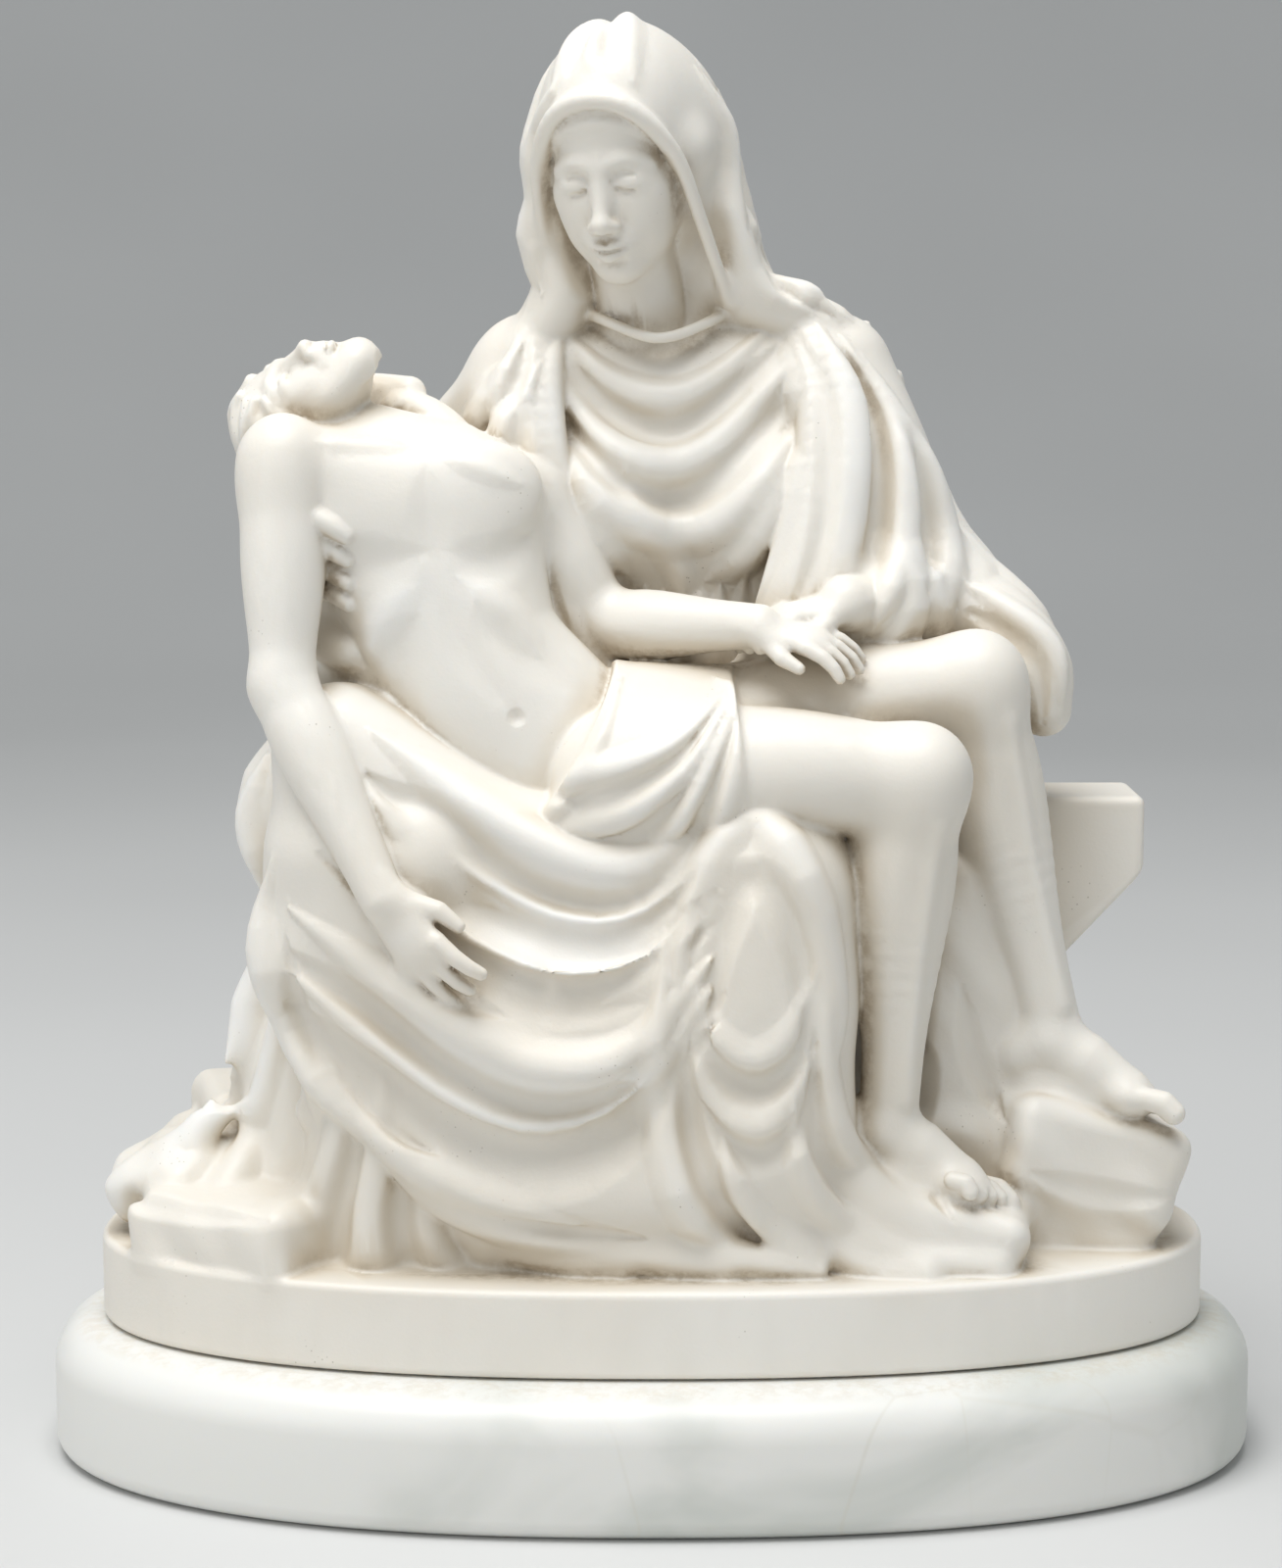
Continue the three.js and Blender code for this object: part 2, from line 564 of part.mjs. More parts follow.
// The veil: a hood that stands off the face and spreads over the shoulders
function veil(f, at) {
  const clay = new Clay();
  clay.join(egg(at(0, 0.14, -0.13), [13.3, 18.2, 17], f.axes));
  clay.join(curl([at(0, 0.02, -0.3), [1, 16, 158], [4, 21, 140], [5, 26, 110]], [14, 15, 20, 24],
    [0, 1, 0], 0.75), 10);
  clay.join(curl([at(-0.34, 0.05, -0.02), [-15, 6, 166], [-14.5, 6, 154], [-22, 9, 143]],
    [3, 3.6, 4.2, 4]), 5);
  clay.join(curl([at(0.34, 0.05, -0.02), [9.5, 6, 168], [14.5, 7, 156], [29, 10, 149]], [3, 3.8, 5, 4.5]), 5);
  clay.cut(egg(at(0, -0.18, 0.36), [11.7, 20, 16.5], f.axes), 1.2);
  clay.cut(egg([-0.5, -4, 152], [10.5, 12, 10]), 2);
  clay.join(curl([at(-0.43, -0.72, -0.04), at(-0.4, -0.25, 0.13), at(-0.35, 0.1, 0.22), at(-0.2, 0.34, 0.31),
    at(0, 0.415, 0.34), at(0.2, 0.34, 0.31), at(0.35, 0.1, 0.22), at(0.41, -0.25, 0.13),
    at(0.5, -0.72, -0.08)], [1, 1.1, 1.2, 1.4, 1.6, 1.4, 1.2, 1.1, 1]), 2);
  folds(clay, FRONT, [
    // Soft folds back from the brow and down to the shoulders
    [0.35, 4, [[-10, 187], [-12, 192], [-8, 197]]],
    [0.4, 4.5, [[-6, 188], [-3, 194], [2, 198]]],
    [0.4, 4.5, [[1, 188], [6, 192], [10, 192]]],
    [-0.35, 3.5, [[-8, 188], [-8, 193], [-3, 198]]],
    [-0.35, 3.5, [[-2, 188], [2, 193], [7, 195]]],
    [0.6, 3.6, [[-14, 190], [-19, 180], [-20, 168], [-18, 154]]],
    [0.6, 4, [[7, 191], [12, 181], [13, 168], [18, 156], [27, 151]]],
    [0.7, 4, [[5, 197], [14, 186], [17, 170], [23, 157], [33, 150]]],
    [-0.6, 3, [[6, 194], [13, 183], [15, 169], [21, 156], [30, 151]]],
  ], 0.4);
  pleats(clay, LEFT, [[2, 192], [24, 184]], [[6, 148], [28, 138]],
    { count: 5, width: 4.5, bow: [2, 0], seed: 3 });
  pleats(clay, RIGHT, [[2, 190], [24, 184]], [[6, 150], [30, 138]],
    { count: 5, width: 4.5, bow: [2, 0], seed: 4 });
  pleats(clay, BACK, [[-12, 190], [8, 190]], [[-26, 116], [34, 116]],
    { count: 8, width: 5.5, steepness: 0.85, taper: OPEN_END, seed: 5 });
  const hem = [[-50, 136], [-26, 126], [-10, 121], [4, 119], [18, 121], [36, 127], [60, 138]];
  clay.cut(below(hem, { waves: 7, rise: 1.2 }), 1);
  return clay;
}

// The mantle: it wraps her arms and frames the chest, and falls down her back and both sides
function mantle() {
  const clay = new Clay();
  clay.join(egg([6, 25, 112], [33, 11, 40]));
  clay.join(roll([[5, 20, 108], [4, 20.5, 60], [2, 21, 2]], [30, 40, 44], [0, 1, 0], 0.31), 8);
  clay.join(curl([mother.rightElbow, [-45, 17, 92], [-50, 12, 60]], [10, 9, 12]), 6);
  clay.join(roll([[-30, 22, 118], [-38, 20, 80], [-46, 18, 30]], [9, 10, 12]), 8);
  clay.join(roll([[36, 20, 116], [40, 20, 88], [42, 18, 70]], [9, 10, 10]), 8);
  for (const [shoulder, elbow] of [[mother.rightShoulder, mother.rightElbow],
    [mother.leftShoulder, mother.leftElbow]]) {
    clay.join(roll([shoulder, mix(shoulder, elbow, 0.5), elbow], [11.4, 11.2, 10]), 6);
  }
  clay.join(roll([mother.rightElbow, mother.rightWrist], [10, 6.5]), 6);
  clay.join(roll([mother.leftElbow, mix(mother.leftElbow, mother.leftWrist, 0.7)], [9.6, 7.5]), 6);
  // The broad fall on the viewer's left, behind the hanging arm, and the cloth that bears his back
  clay.join(roll([[-42, 10, 108], [-48, 6, 74], [-51, 5, 34], [-55, 4, 4]], [14, 17, 20, 22],
    [1, 0, 0], 0.72), 6);
  clay.join(egg([-41, -3, 90], [16.5, 15, 32]), 6);
  clay.join(egg([-58, -6, 70], [8.5, 9, 13]), 5);
  clay.join(egg([-71, -3, 7], [17, 15, 8]), 6);
  // The fall on the viewer's right, from the elbow to the seat
  clay.join(roll([[46, 15, 100], [47, 16, 80], [47, 16, 68]], [11, 12, 13]), 6);
  clay.join(curl([[31, 12, 142], [37, 6, 122], [33, 2, 104]], [8, 9, 8]), 6);
  clay.join(curl([[47, 9, 106], [57, 3, 101], [63, -1, 94], [64.5, -2, 87]], [7.5, 6.6, 6, 4.6]), 4);
  clay.join(curl([[-22, 12, 142], [-24, 5, 122], [-16, 2, 100]], [7, 8, 7]), 6);
  // Its edges come forward over the shoulders and run down the chest to the waist
  clay.join(curl([[-18, 11, 153], [-20, 1, 138], [-18, -5, 118], [-11, -6, 98], [-3, -6, 84]],
    [3, 4.4, 5, 4.4, 3], [0.3, -0.95, 0], 0.7), 3);
  clay.join(curl([[23, 10, 153], [28, 1, 138], [27, -5, 118], [21, -7, 102], [14, -6, 88]],
    [3, 4.6, 5.4, 4.8, 3], [-0.3, -0.95, 0], 0.7), 3);
  folds(clay, FRONT, [
    [0.7, 4.5, [[-22, 148], [-25, 136], [-24, 116], [-17, 96]]],
    [0.8, 3.6, [[-15, 150], [-16, 138], [-13, 118], [-7, 98]]],
    [-0.7, 3, [[-20, 150], [-22, 137], [-20, 117], [-12, 97]]],
    [0.9, 5, [[27, 150], [33, 136], [32, 116], [25, 98]]],
    [0.8, 5, [[31, 148], [40, 132], [41, 114], [35, 100]]],
    [0.8, 4.5, [[34, 145], [45, 127], [49, 112], [46, 99]]],
    [-0.7, 4, [[29, 149], [36.5, 134], [36.5, 115], [30, 99]]],
    [-0.7, 4, [[32.5, 146], [42.5, 130], [45, 113], [41, 99.5]]],
    [-0.7, 3, [[23, 150], [28, 137], [27.5, 117], [21, 100]]],
    [0.8, 3, [[50, 108], [58, 104], [66, 97], [67, 86]]],
    [-0.7, 2.4, [[50, 104], [57, 100], [63, 94], [64, 84]]],
    [0.7, 3, [[50, 99], [56, 96], [60, 90], [60, 82]]],
    [0.8, 3.6, [[20, 150], [23, 138], [22, 120], [16, 102]]],
    // Across the viewer's left upper arm
    [0.7, 4.5, [[-21, 147], [-29, 134], [-35, 118]]],
    [0.7, 4, [[-18, 144], [-26, 128], [-31, 110]]],
    [-0.6, 3.5, [[-19.5, 146], [-27.5, 131], [-33, 114]]],
    // Bunched behind the hanging arm
    [0.8, 5, [[-60, 104], [-53, 98], [-45, 98]]],
    [0.9, 5, [[-62, 96], [-54, 88], [-45, 87], [-38, 92]]],
    [0.9, 5, [[-62, 86], [-55, 77], [-44, 75], [-32, 80]]],
    [-0.8, 4, [[-60, 100], [-51, 92.5], [-42, 92]]],
    [-0.8, 4, [[-61, 91], [-52, 82], [-40, 81]]],
    // An arch of cloth under his back
    [0.9, 4.5, [[-53, 82], [-47, 88], [-39, 84], [-33, 74]]],
    [-0.8, 4, [[-50, 78], [-45, 82], [-40, 78]]],
    // The bulge under the elbow and the cloth spread on the rock
    [0.9, 5, [[-62, 82], [-66, 70], [-62, 60], [-56, 56]]],
    [0.8, 4, [[-54, 80], [-58, 70], [-56, 62]]],
    [0.9, 6, [[-60, 60], [-66, 40], [-71, 22], [-80, 8]], OPEN_END],
    [0.8, 5, [[-62, 40], [-71, 22], [-80, 12], [-88, 7]], OPEN_END],
    [0.8, 5, [[-58, 44], [-65, 20], [-71, 8], [-80, 2]], OPEN_END],
    [-0.7, 4, [[-60, 52], [-67, 30], [-75, 15], [-84, 7]], OPEN_END],
  ], 0.4);
  folds(clay, LEFT, [
    [0.9, 6, [[26, 140], [24, 104], [26, 60], [29, 2]], OPEN_END],
    [0.8, 5, [[20, 118], [16, 92], [18, 50], [22, 2]], OPEN_END],
    [0.95, 7, [[13, 112], [9, 86], [10, 46], [14, 2]], OPEN_END],
    [0.7, 4.5, [[7, 104], [3, 80], [4, 46], [7, 2]], OPEN_END],
    [0.95, 6.5, [[2, 98], [-3, 74], [-3, 40], [0, 2]], OPEN_END],
    [0.8, 5, [[-4, 66], [-9, 46], [-9, 24], [-8, 4]], OPEN_END],
    [-0.85, 5, [[17, 112], [13, 86], [14, 46], [18, 2]], OPEN_END],
    [-0.85, 5, [[5, 96], [0, 76], [1, 42], [4, 2]], OPEN_END],
    [-0.8, 5, [[23, 130], [21, 96], [22, 56], [26, 2]], OPEN_END],
  ], 0.4);
  folds(clay, RIGHT, [
    [0.8, 5, [[25, 140], [25, 116], [24, 94], [23, 75]], OPEN_END],
    [0.9, 6, [[19, 138], [19, 112], [18, 92], [18, 74]], OPEN_END],
    [0.8, 5, [[14, 132], [12, 110], [12, 92], [12, 74]], OPEN_END],
    [0.8, 5, [[8, 120], [5, 104], [6, 90], [6, 75]], OPEN_END],
    [-0.8, 4.5, [[16.5, 134], [15.5, 110], [15, 92], [15, 74]], OPEN_END],
    [-0.7, 4.5, [[22, 138], [22, 112], [21, 92], [20.5, 74]], OPEN_END],
  ], 0.4);
  // Each fall of the back: its place across at the top, the waist and the foot
  const falls = [[-34, -43, -58], [-28, -34, -48], [-22, -25, -38], [-14, -16, -27], [-7, -6, -15], [2, 3, -4],
    [10, 12, 9], [19, 21, 20], [28, 31, 32], [36, 40, 44], [40, 47, 52]];
  const back = falls.flatMap(([top, waist, foot], i) => {
    const width = 6.5 + 1.6 * Math.sin(2.3 * i);
    const knee = 0.5 * (waist + foot);
    return [
      [0.9, width, [[top, 150], [waist, 104], [knee, 50], [foot, 1]], OPEN_END],
      [-0.8, 0.75 * width, [[top + 4, 140], [waist + 4.5, 100], [knee + 5, 50], [foot + 6, 1]], OPEN_END],
    ];
  });
  folds(clay, BACK, back, 0.4);
  rings(clay, mother.leftElbow, mix(mother.leftElbow, mother.leftWrist, 0.7), [11, 8],
    { count: 6, width: 3.6 });
  rings(clay, mother.rightElbow, mother.rightWrist, [10.5, 7], { count: 5, width: 3.4 });
  // The cloth over the arm that bears his neck
  clay.join(curl([[-44, 2, 136], [-38, -1, 135.5], [-33, -3, 132], [-29, -4, 127]], [2.4, 3.1, 3.4, 3]), 2);
  clay.join(curl([[-41, -4, 131], [-36, -6, 130], [-30, -7, 125]], [2.4, 2.8, 2.4]), 1.5);
  rings(clay, [-43, 1, 136], [-30, -4, 129], [3, 3.4], { count: 7, width: 1.6, steepness: 0.9, lean: 0.7 });
  return clay;
}

// The mantle over her lap: it sags between the knees and falls from them, over the gown
function lapCloth() {
  const clay = new Clay();
  clay.join(curl([[-50, -18, 82], [-22, -20, 66], [2, -22, 66], [18, -24, 64]], [11, 12, 12, 11]));
  clay.join(curl([[-50, -21, 66], [-26, -25, 48], [0, -26, 50], [18, -26, 56]], [12, 12.5, 12, 11.5]), 8);
  clay.join(curl([[-52, -19, 50], [-28, -26, 32], [0, -27, 34], [18, -27, 42]], [12, 12, 11.5, 11.5]), 8);
  clay.join(curl([[-46, -18, 30], [-24, -26, 16], [0, -27, 14], [18, -26, 22]], [12, 11.5, 11.5, 12]), 8);
  clay.join(curl([[18, -27, 60], [20, -27, 40], [20, -25, 20], [24, -22, 6]], [12, 11, 11, 12]), 8);
  swags(clay, FRONT, [[-44, 88], [-53, 70], [-60, 50]], [[8, 74], [11, 62], [10, 48]],
    { sag: [12, 24], count: 5, width: 6.4, deepest: 0.6, seed: 1 });
  folds(clay, FRONT, [
    // Short folds that die out in the swags
    [0.6, 3.4, [[-46, 80], [-36, 66], [-22, 58]]],
    [0.6, 3.2, [[8, 62], [2, 50], [-8, 44]]],
    [0.6, 3, [[10, 50], [4, 38], [-6, 32]]],
    [-0.5, 3, [[-44, 62], [-34, 48], [-22, 42]]],
    // Small sags down the shin
    [0.55, 3.6, [[5, 52], [9, 40], [15, 36], [21, 39], [25, 50]]],
    [-0.45, 4, [[7, 44], [11, 35], [16, 32], [21, 35], [24, 42]]],
    [0.55, 3.4, [[5, 38], [10, 28], [16, 25], [21, 28], [25, 36]]],
    [-0.45, 4, [[7, 30], [12, 23], [17, 21], [22, 24], [25, 29]]],
  ]);
  folds(clay, FRONT, [
    // Long folds beside the slanting hem
    [0.9, 5.5, [[-60, 66], [-62, 50], [-54, 32], [-42, 18]]],
    [0.85, 5.5, [[-56, 40], [-44, 24], [-28, 13], [-8, 8]]],
    [0.7, 4, [[-46, 22], [-34, 11], [-18, 6], [0, 4]]],
    [-0.8, 4.5, [[-58, 54], [-55, 38], [-44, 26], [-30, 17]]],
    [-0.7, 4, [[-46, 30], [-34, 16], [-18, 9.5], [0, 6.5]]],
    // A loop of cloth over the near knee
    [0.9, 4.6, [[3, 40], [5, 56], [10, 69], [17, 73], [24, 64], [28, 50], [29, 40], [27, 31]]],
    [-0.6, 4.5, [[9, 38], [10.5, 54], [15, 64], [21, 58], [24, 46], [23, 34]]],
    // Falls from the near knee
    [0.9, 4.5, [[27, 52], [28, 30], [33, 17], [44, 9]], OPEN_END],
    [0.8, 4.2, [[22, 30], [23, 20], [28, 11], [38, 3]], OPEN_END],
    [-0.8, 4, [[25, 42], [26, 24], [31, 13.5], [41, 6]], OPEN_END],
    [0.9, 5.2, [[2, 56], [1, 34], [4, 16], [12, 4]], OPEN_END],
    [0.75, 4, [[11, 24], [13, 16], [17, 9], [26, 3]], OPEN_END],
    [-0.8, 4.2, [[6, 40], [5.5, 26], [9.5, 13], [18, 3]], OPEN_END],
  ], 0.4);
  const hem = [[-90, 56], [-74, 54], [-66, 46], [-59, 33], [-53, 22], [-45, 11], [-34, 5], [-20, 3], [-6, 2],
    [10, 1], [26, 0], [44, -1], [64, -2]];
  clay.cut(below(hem, { waves: 12, rise: 1.2 }), 1.2);
  // Folds that lie on the ground along the hem, and its end before his foot
  const lying = [
    [[-36, -22, 9], [-25, -29, 5], [-14, -33, 2.5], [-5, -34.5, 1]],
    [[-22, -26, 7], [-9, -32, 4.5], [3, -34.5, 2.5], [11, -35.5, 1]],
    [[-4, -29, 6], [7, -33, 4], [17, -35, 2.5], [26, -35.5, 1]],
  ];
  for (const line of lying) clay.join(curl(line, [3.2, 3.4, 2.8, 1.6]), 3);
  for (const [end, rise] of [[[50, -26, 7], 14], [[57, -28, 4], 10], [[54, -32, 1], 5], [[43, -34, 0], 2]]) {
    clay.join(curl([[22, -27, rise + 10], mix([28, -31, rise], end, 0.4), end], [5, 3.6, 3.2]), 1.6);
  }
  return clay;
}

// Where the son's joints are; his right is the viewer's left
const son = {
  head: [-55, -3, 135.5],
  collar: [-36.5, -9, 121],
  chest: [-36, -10, 116],
  waist: [-30, -13, 98],
  belly: [-20, -15, 86],
  pelvis: [-8, -15, 77],
  rightShoulder: [-58.5, -16, 128],
  rightElbow: [-58.5, -24, 93],
  rightWrist: [-42, -37, 61],
  leftShoulder: [-20, -3, 121],
  leftElbow: [-8, -4, 101],
  leftWrist: [17, -18, 102],
  rightHip: [-4, -22, 77],
  rightKnee: [41.5, -27, 79],
  rightAnkle: [38, -23, 22],
  leftHip: [2, -8, 80],
  leftKnee: [52, -10, 92],
  leftAnkle: [66, -12, 34],
};

// His body, bare but for the loincloth
function sonBody() {
  const clay = new Clay();
  clay.join(curl([son.collar, son.chest, son.waist, son.belly, son.pelvis],
    [11, 17.6, 15.5, 15.5, 14.5], [0.1, -0.97, 0.22], 0.62));
  clay.join(roll([son.rightShoulder, son.leftShoulder], [6.6, 7]), 7);
  const f = facing(son.chest, [-0.2, 0.1, 0.97], [0.12, -1, 0.2]);
  for (const side of [-1, 1]) {
    clay.join(egg(f.at(side * 8.6, 5, 7.2), [10, 7.6, 3.4], f.axes), 5);
  }
  clay.join(egg([-27, -17, 95], [8, 5, 11]), 7);
  clay.join(curl([son.collar, [-42.5, -8, 129], add(son.head, [5, -2, -3])], [7.4, 6.4, 6]), 4);
  for (const [hip, knee] of [[son.rightHip, son.rightKnee], [son.leftHip, son.leftKnee]]) {
    clay.join(curl([hip, add(mix(hip, knee, 0.5), [0, 0, 1]), knee], [12.5, 10.7, 8.2]), 5);
  }
  folds(clay, FRONT, [
    // The breastbone, the edge of the chest muscles, the arch of the ribs and the collarbones
    [-0.15, 3.5, [[-36, 126], [-35, 118], [-33.5, 110]]],
    [-0.14, 5, [[-54, 117], [-45, 112.5], [-35, 114]]],
    [-0.12, 5, [[-33, 114], [-25, 112.5], [-18.5, 117]]],
    [0.1, 5, [[-36, 110], [-43, 103], [-46, 95]]],
    [0.1, 5, [[-31, 110], [-23, 104], [-17, 97]]],
    [0.25, 2.6, [[-38, 130], [-46, 131], [-55, 131]]],
    [0.25, 2.6, [[-34, 129], [-27, 127], [-20, 124]]],
    [0.07, 2.6, [[-54, 110], [-49, 107.5], [-44, 108]]],
    [0.07, 2.6, [[-53, 105.5], [-48, 103], [-44, 103.5]]],
    [0.07, 2.6, [[-51, 101], [-47, 98.5], [-43, 99]]],
    // The belly: a line down its middle and a soft dip on each side
    [-0.14, 3, [[-33, 108], [-29, 98], [-21, 88]]],
    [-0.1, 5.5, [[-37, 104], [-40, 96], [-37, 86]]],
    [-0.1, 5.5, [[-28, 106], [-21, 99], [-12, 92]]],
    [-0.6, 1.6, [[-22, 88.5], [-21, 87.5]]],
  ], 1.0);
  return clay;
}

function sonArms() {
  const clay = new Clay();
  const arms = [
    [son.rightShoulder, son.rightElbow, son.rightWrist],
    [son.leftShoulder, son.leftElbow, son.leftWrist],
  ];
  for (const [shoulder, elbow, wrist] of arms) {
    clay.join(egg(add(shoulder, [-0.3, 0, -2.5]), [7, 7.4, 9.5]), 3);
    clay.join(curl([shoulder, mix(shoulder, elbow, 0.45), mix(shoulder, elbow, 0.8), elbow],
      [7, 6.8, 5.4, 4.9]), 3);
    clay.join(curl([elbow, mix(elbow, wrist, 0.28), mix(elbow, wrist, 0.7), wrist], [4.9, 5.8, 4.3, 3.5]), 3);
  }
  clay.join(hand(son.rightWrist, [0.58, -0.15, -0.8], [0.5, 0.85, 0.15], 22, { bend: 0.2, thumb: -1 }), 2.5);
  clay.join(hand(son.leftWrist, [0.95, -0.25, -0.25], [0.1, 0.3, -1], 19, { bend: 0.3 }), 2.5);
  return clay;
}

function sonLegs() {
  const clay = new Clay();
  const legs = [
    [son.rightKnee, son.rightAnkle, [0.94, -0.2, -0.28], [-0.28, -0.15, -0.94]],
    [son.leftKnee, son.leftAnkle, [0.95, -0.18, -0.27], [-0.27, -0.1, -0.95]],
  ];
  for (const [knee, ankle, ahead, sole] of legs) {
    const shin = sub(ankle, knee);
    const f = facing(knee, times(shin, -1), [0.55, -1, 0.1]);
    const length = Math.hypot(...shin);
    clay.join(egg(knee, [8.6, 8.6, 8.6]), 3);
    clay.join(egg(f.at(0, 0, 4.5), [5.2, 6, 5.2], f.axes), 3);
    clay.join(roll([knee, f.at(0, -0.33 * length, -2.4), f.at(0, -0.72 * length, -0.6), ankle],
      [8.2, 8.9, 5.4, 4.6]), 3);
    const shinbone = [f.at(0, -0.12 * length, 8), f.at(0.5, -0.5 * length, 6), f.at(0, -0.9 * length, 4.5)];
    clay.swell(ridge(shinbone, [3]), 0.3);
    clay.join(foot(ankle, ahead, sole, 29), 3);
  }
  return clay;
}

// His hair: how many locks, how far they go round either side, and the points of each
const LOCKS = 15;
const LOCK_SPREAD = 1.95;
const LOCK_STEPS = 10;

// His head falls back over her arm, with long hair and a short beard
function sonHead() {
  const { face, f, at } = head(son.head, [-0.86, 0.33, -0.26], [-0.2, -0.5, 0.85], 26);
  const clay = new Clay();
  // Hair: a cap open to the face, and a fall on each side behind the neck
  clay.join(egg(at(0, 0.15, -0.1), [10.6, 11.2, 11.6], f.axes));
  clay.join(curl([at(-0.28, 0.1, -0.1), at(-0.34, -0.2, -0.2), at(-0.3, -0.5, -0.22)], [4.6, 4.4, 2.8]), 4);
  clay.join(curl([at(0.28, 0.1, -0.1), at(0.34, -0.2, -0.2)], [4.6, 3.6]), 4);
  // Wavy locks combed back from the brow, laid on the hair from all round
  for (let i = 0; i < LOCKS; i++) {
    const turn = (2 * i / (LOCKS - 1) - 1) * LOCK_SPREAD;
    const side = Math.sin(turn);
    const rise = Math.cos(turn);
    const lock = [];
    for (let k = 0; k <= LOCK_STEPS; k++) {
      const t = k / LOCK_STEPS;
      const wave = 0.045 * Math.sin(2.4 * Math.PI * t + 1.9 * i);
      const back = 0.3 - 0.62 * t;
      const fall = -0.3 * t * t;
      const across = Math.sqrt(Math.max(1 - ((back + 0.1) / 0.47) ** 2, 0.05));
      const up = 0.15 + 0.42 * across * rise - wave * side + fall;
      lock.push(at(0.4 * across * side + wave * rise, up, back));
    }
    clay.swell(ridge(lock, [1.4, 2.2, 2.2, 1.8], 0.45), 0.8);
  }
  clay.cut(egg(at(0, -0.1, 0.5), [7.6, 11, 9], f.axes), 1);
  clay.join(face, 0.6);
  clay.join(curl([at(-0.26, -0.05, 0.1), at(-0.2, -0.3, 0.18), at(0, -0.47, 0.26), at(0.2, -0.3, 0.18),
    at(0.26, -0.05, 0.1)], [1.2, 2.2, 3, 2.2, 1.2]), 1.8);
  clay.join(curl([at(-0.11, -0.3, 0.33), at(-0.05, -0.245, 0.39), at(0, -0.24, 0.4), at(0.05, -0.245, 0.39),
    at(0.11, -0.3, 0.33)], [0.6, 0.9, 0.8, 0.9, 0.6]), 0.8);
  for (let i = 0; i < 9; i++) {
    const a = (i - 4) / 4;
    clay.swell(ridge([at(0.19 * a, -0.33, 0.3 - 0.12 * a * a), at(0.15 * a, -0.42, 0.31 - 0.12 * a * a),
      at(0.1 * a, -0.55, 0.27 - 0.08 * a * a)], [0.9, 1.3, 1.2], 0.5), 0.7);
  }
  return clay;
}

// The loincloth is drawn over his hips and gathered on the near thigh
function loincloth() {
  const clay = new Clay();
  clay.join(curl([[-17, -14, 85], [-8, -19, 78], [3, -22, 78.5], [13, -22.5, 79]], [13.4, 14.6, 13.8, 12.8]));
  clay.join(roll([[-8, -13, 82], [16, -12, 82]], [14, 13]), 4);
  folds(clay, FRONT, [
    [0.8, 3.4, [[11, 92], [2, 84], [-12, 80], [-26, 81]]],
    [0.85, 3.8, [[12, 91], [4, 80], [-8, 72], [-27, 70]]],
    [0.85, 3.8, [[12.5, 90], [7, 78], [0, 68], [-14, 62]]],
    [0.8, 3.6, [[14, 90], [12, 78], [8, 68], [2, 62]]],
    [-0.8, 3, [[10, 90], [3, 82], [-10, 76], [-23, 79]]],
    [-0.8, 3, [[11, 89], [5, 78], [-4, 70], [-17, 69]]],
    [-0.8, 3, [[13, 88], [9, 77], [4, 67], [-5, 62]]],
    [0.7, 3, [[9, 94], [-4, 92], [-16, 94]]],
    [0.8, 3, [[10, 94], [14, 91], [17, 84]]],
  ], 0.35);
  // Its edges: down from the waist, and round the near thigh
  clay.cut(block([-43, -20, 97], [30, 60, 45], 2, [[0.845, 0, -0.535], [0, 1, 0], [0.535, 0, 0.845]]), 0.8);
  clay.cut(block([45, -20, 76], [30, 40, 30], 2, [[0.99, 0, 0.1], [0, 1, 0], [-0.1, 0, 0.99]]), 0.8);
  return clay;
}

// Her hands: one holds his side under the arm, one is laid on his wrist
function motherHands(held) {
  const clay = new Clay();
  for (const z of [118.5, 114.7, 111, 107.6]) {
    const finger = [[-60, 0, z + 2], [-54, 0, z + 1], [-51, 0, z - 0.3], [-48.5, 0, z - 2]];
    clay.join(roll(laidOn(held, through(finger, FOLD_STEPS), FRONT.towards), [2.2, 1.9, 1.75, 1.3]), 0.8);
  }
  const forearm = mix(mother.rightElbow, mother.rightWrist, 0.7);
  clay.join(roll([forearm, mother.rightWrist, [-54, -2, 113]], [5, 4.2, 4]), 2);
  clay.join(roll([mix(mother.leftElbow, mother.leftWrist, 0.6), mother.leftWrist], [5.6, 4.4]));
  clay.join(hand(mother.leftWrist, [-0.95, -0.2, -0.2], [0, 0.1, -1], 20, { bend: 0.3, thumb: -1 }), 2);
  return clay;
}

// All of the carved group as one lump of clay
function carving() {
  const { face, f, at } = motherHead();
  const clay = new Clay();
  clay.join(ground());
  clay.join(gown(), 2);
  clay.join(skirt(), 4);
  clay.join(mantle(), 1.5);
  clay.join(lapCloth(), 1.5);
  clay.join(veil(f, at), 1);
  clay.join(face, 0.6);
  const body = sonBody();
  clay.join(body, 0.8);
  clay.join(loincloth(), 0.8);
  clay.join(sonLegs(), 1.5);
  clay.join(sonHead(), 1.2);
  clay.join(sonArms(), 1);
  clay.join(motherHands(body), 0.6);
  return clay;
}

const GRID_MARGIN = 8; // clear space round the group, in units
const SUNK = 4; // how far the carving goes down into the base

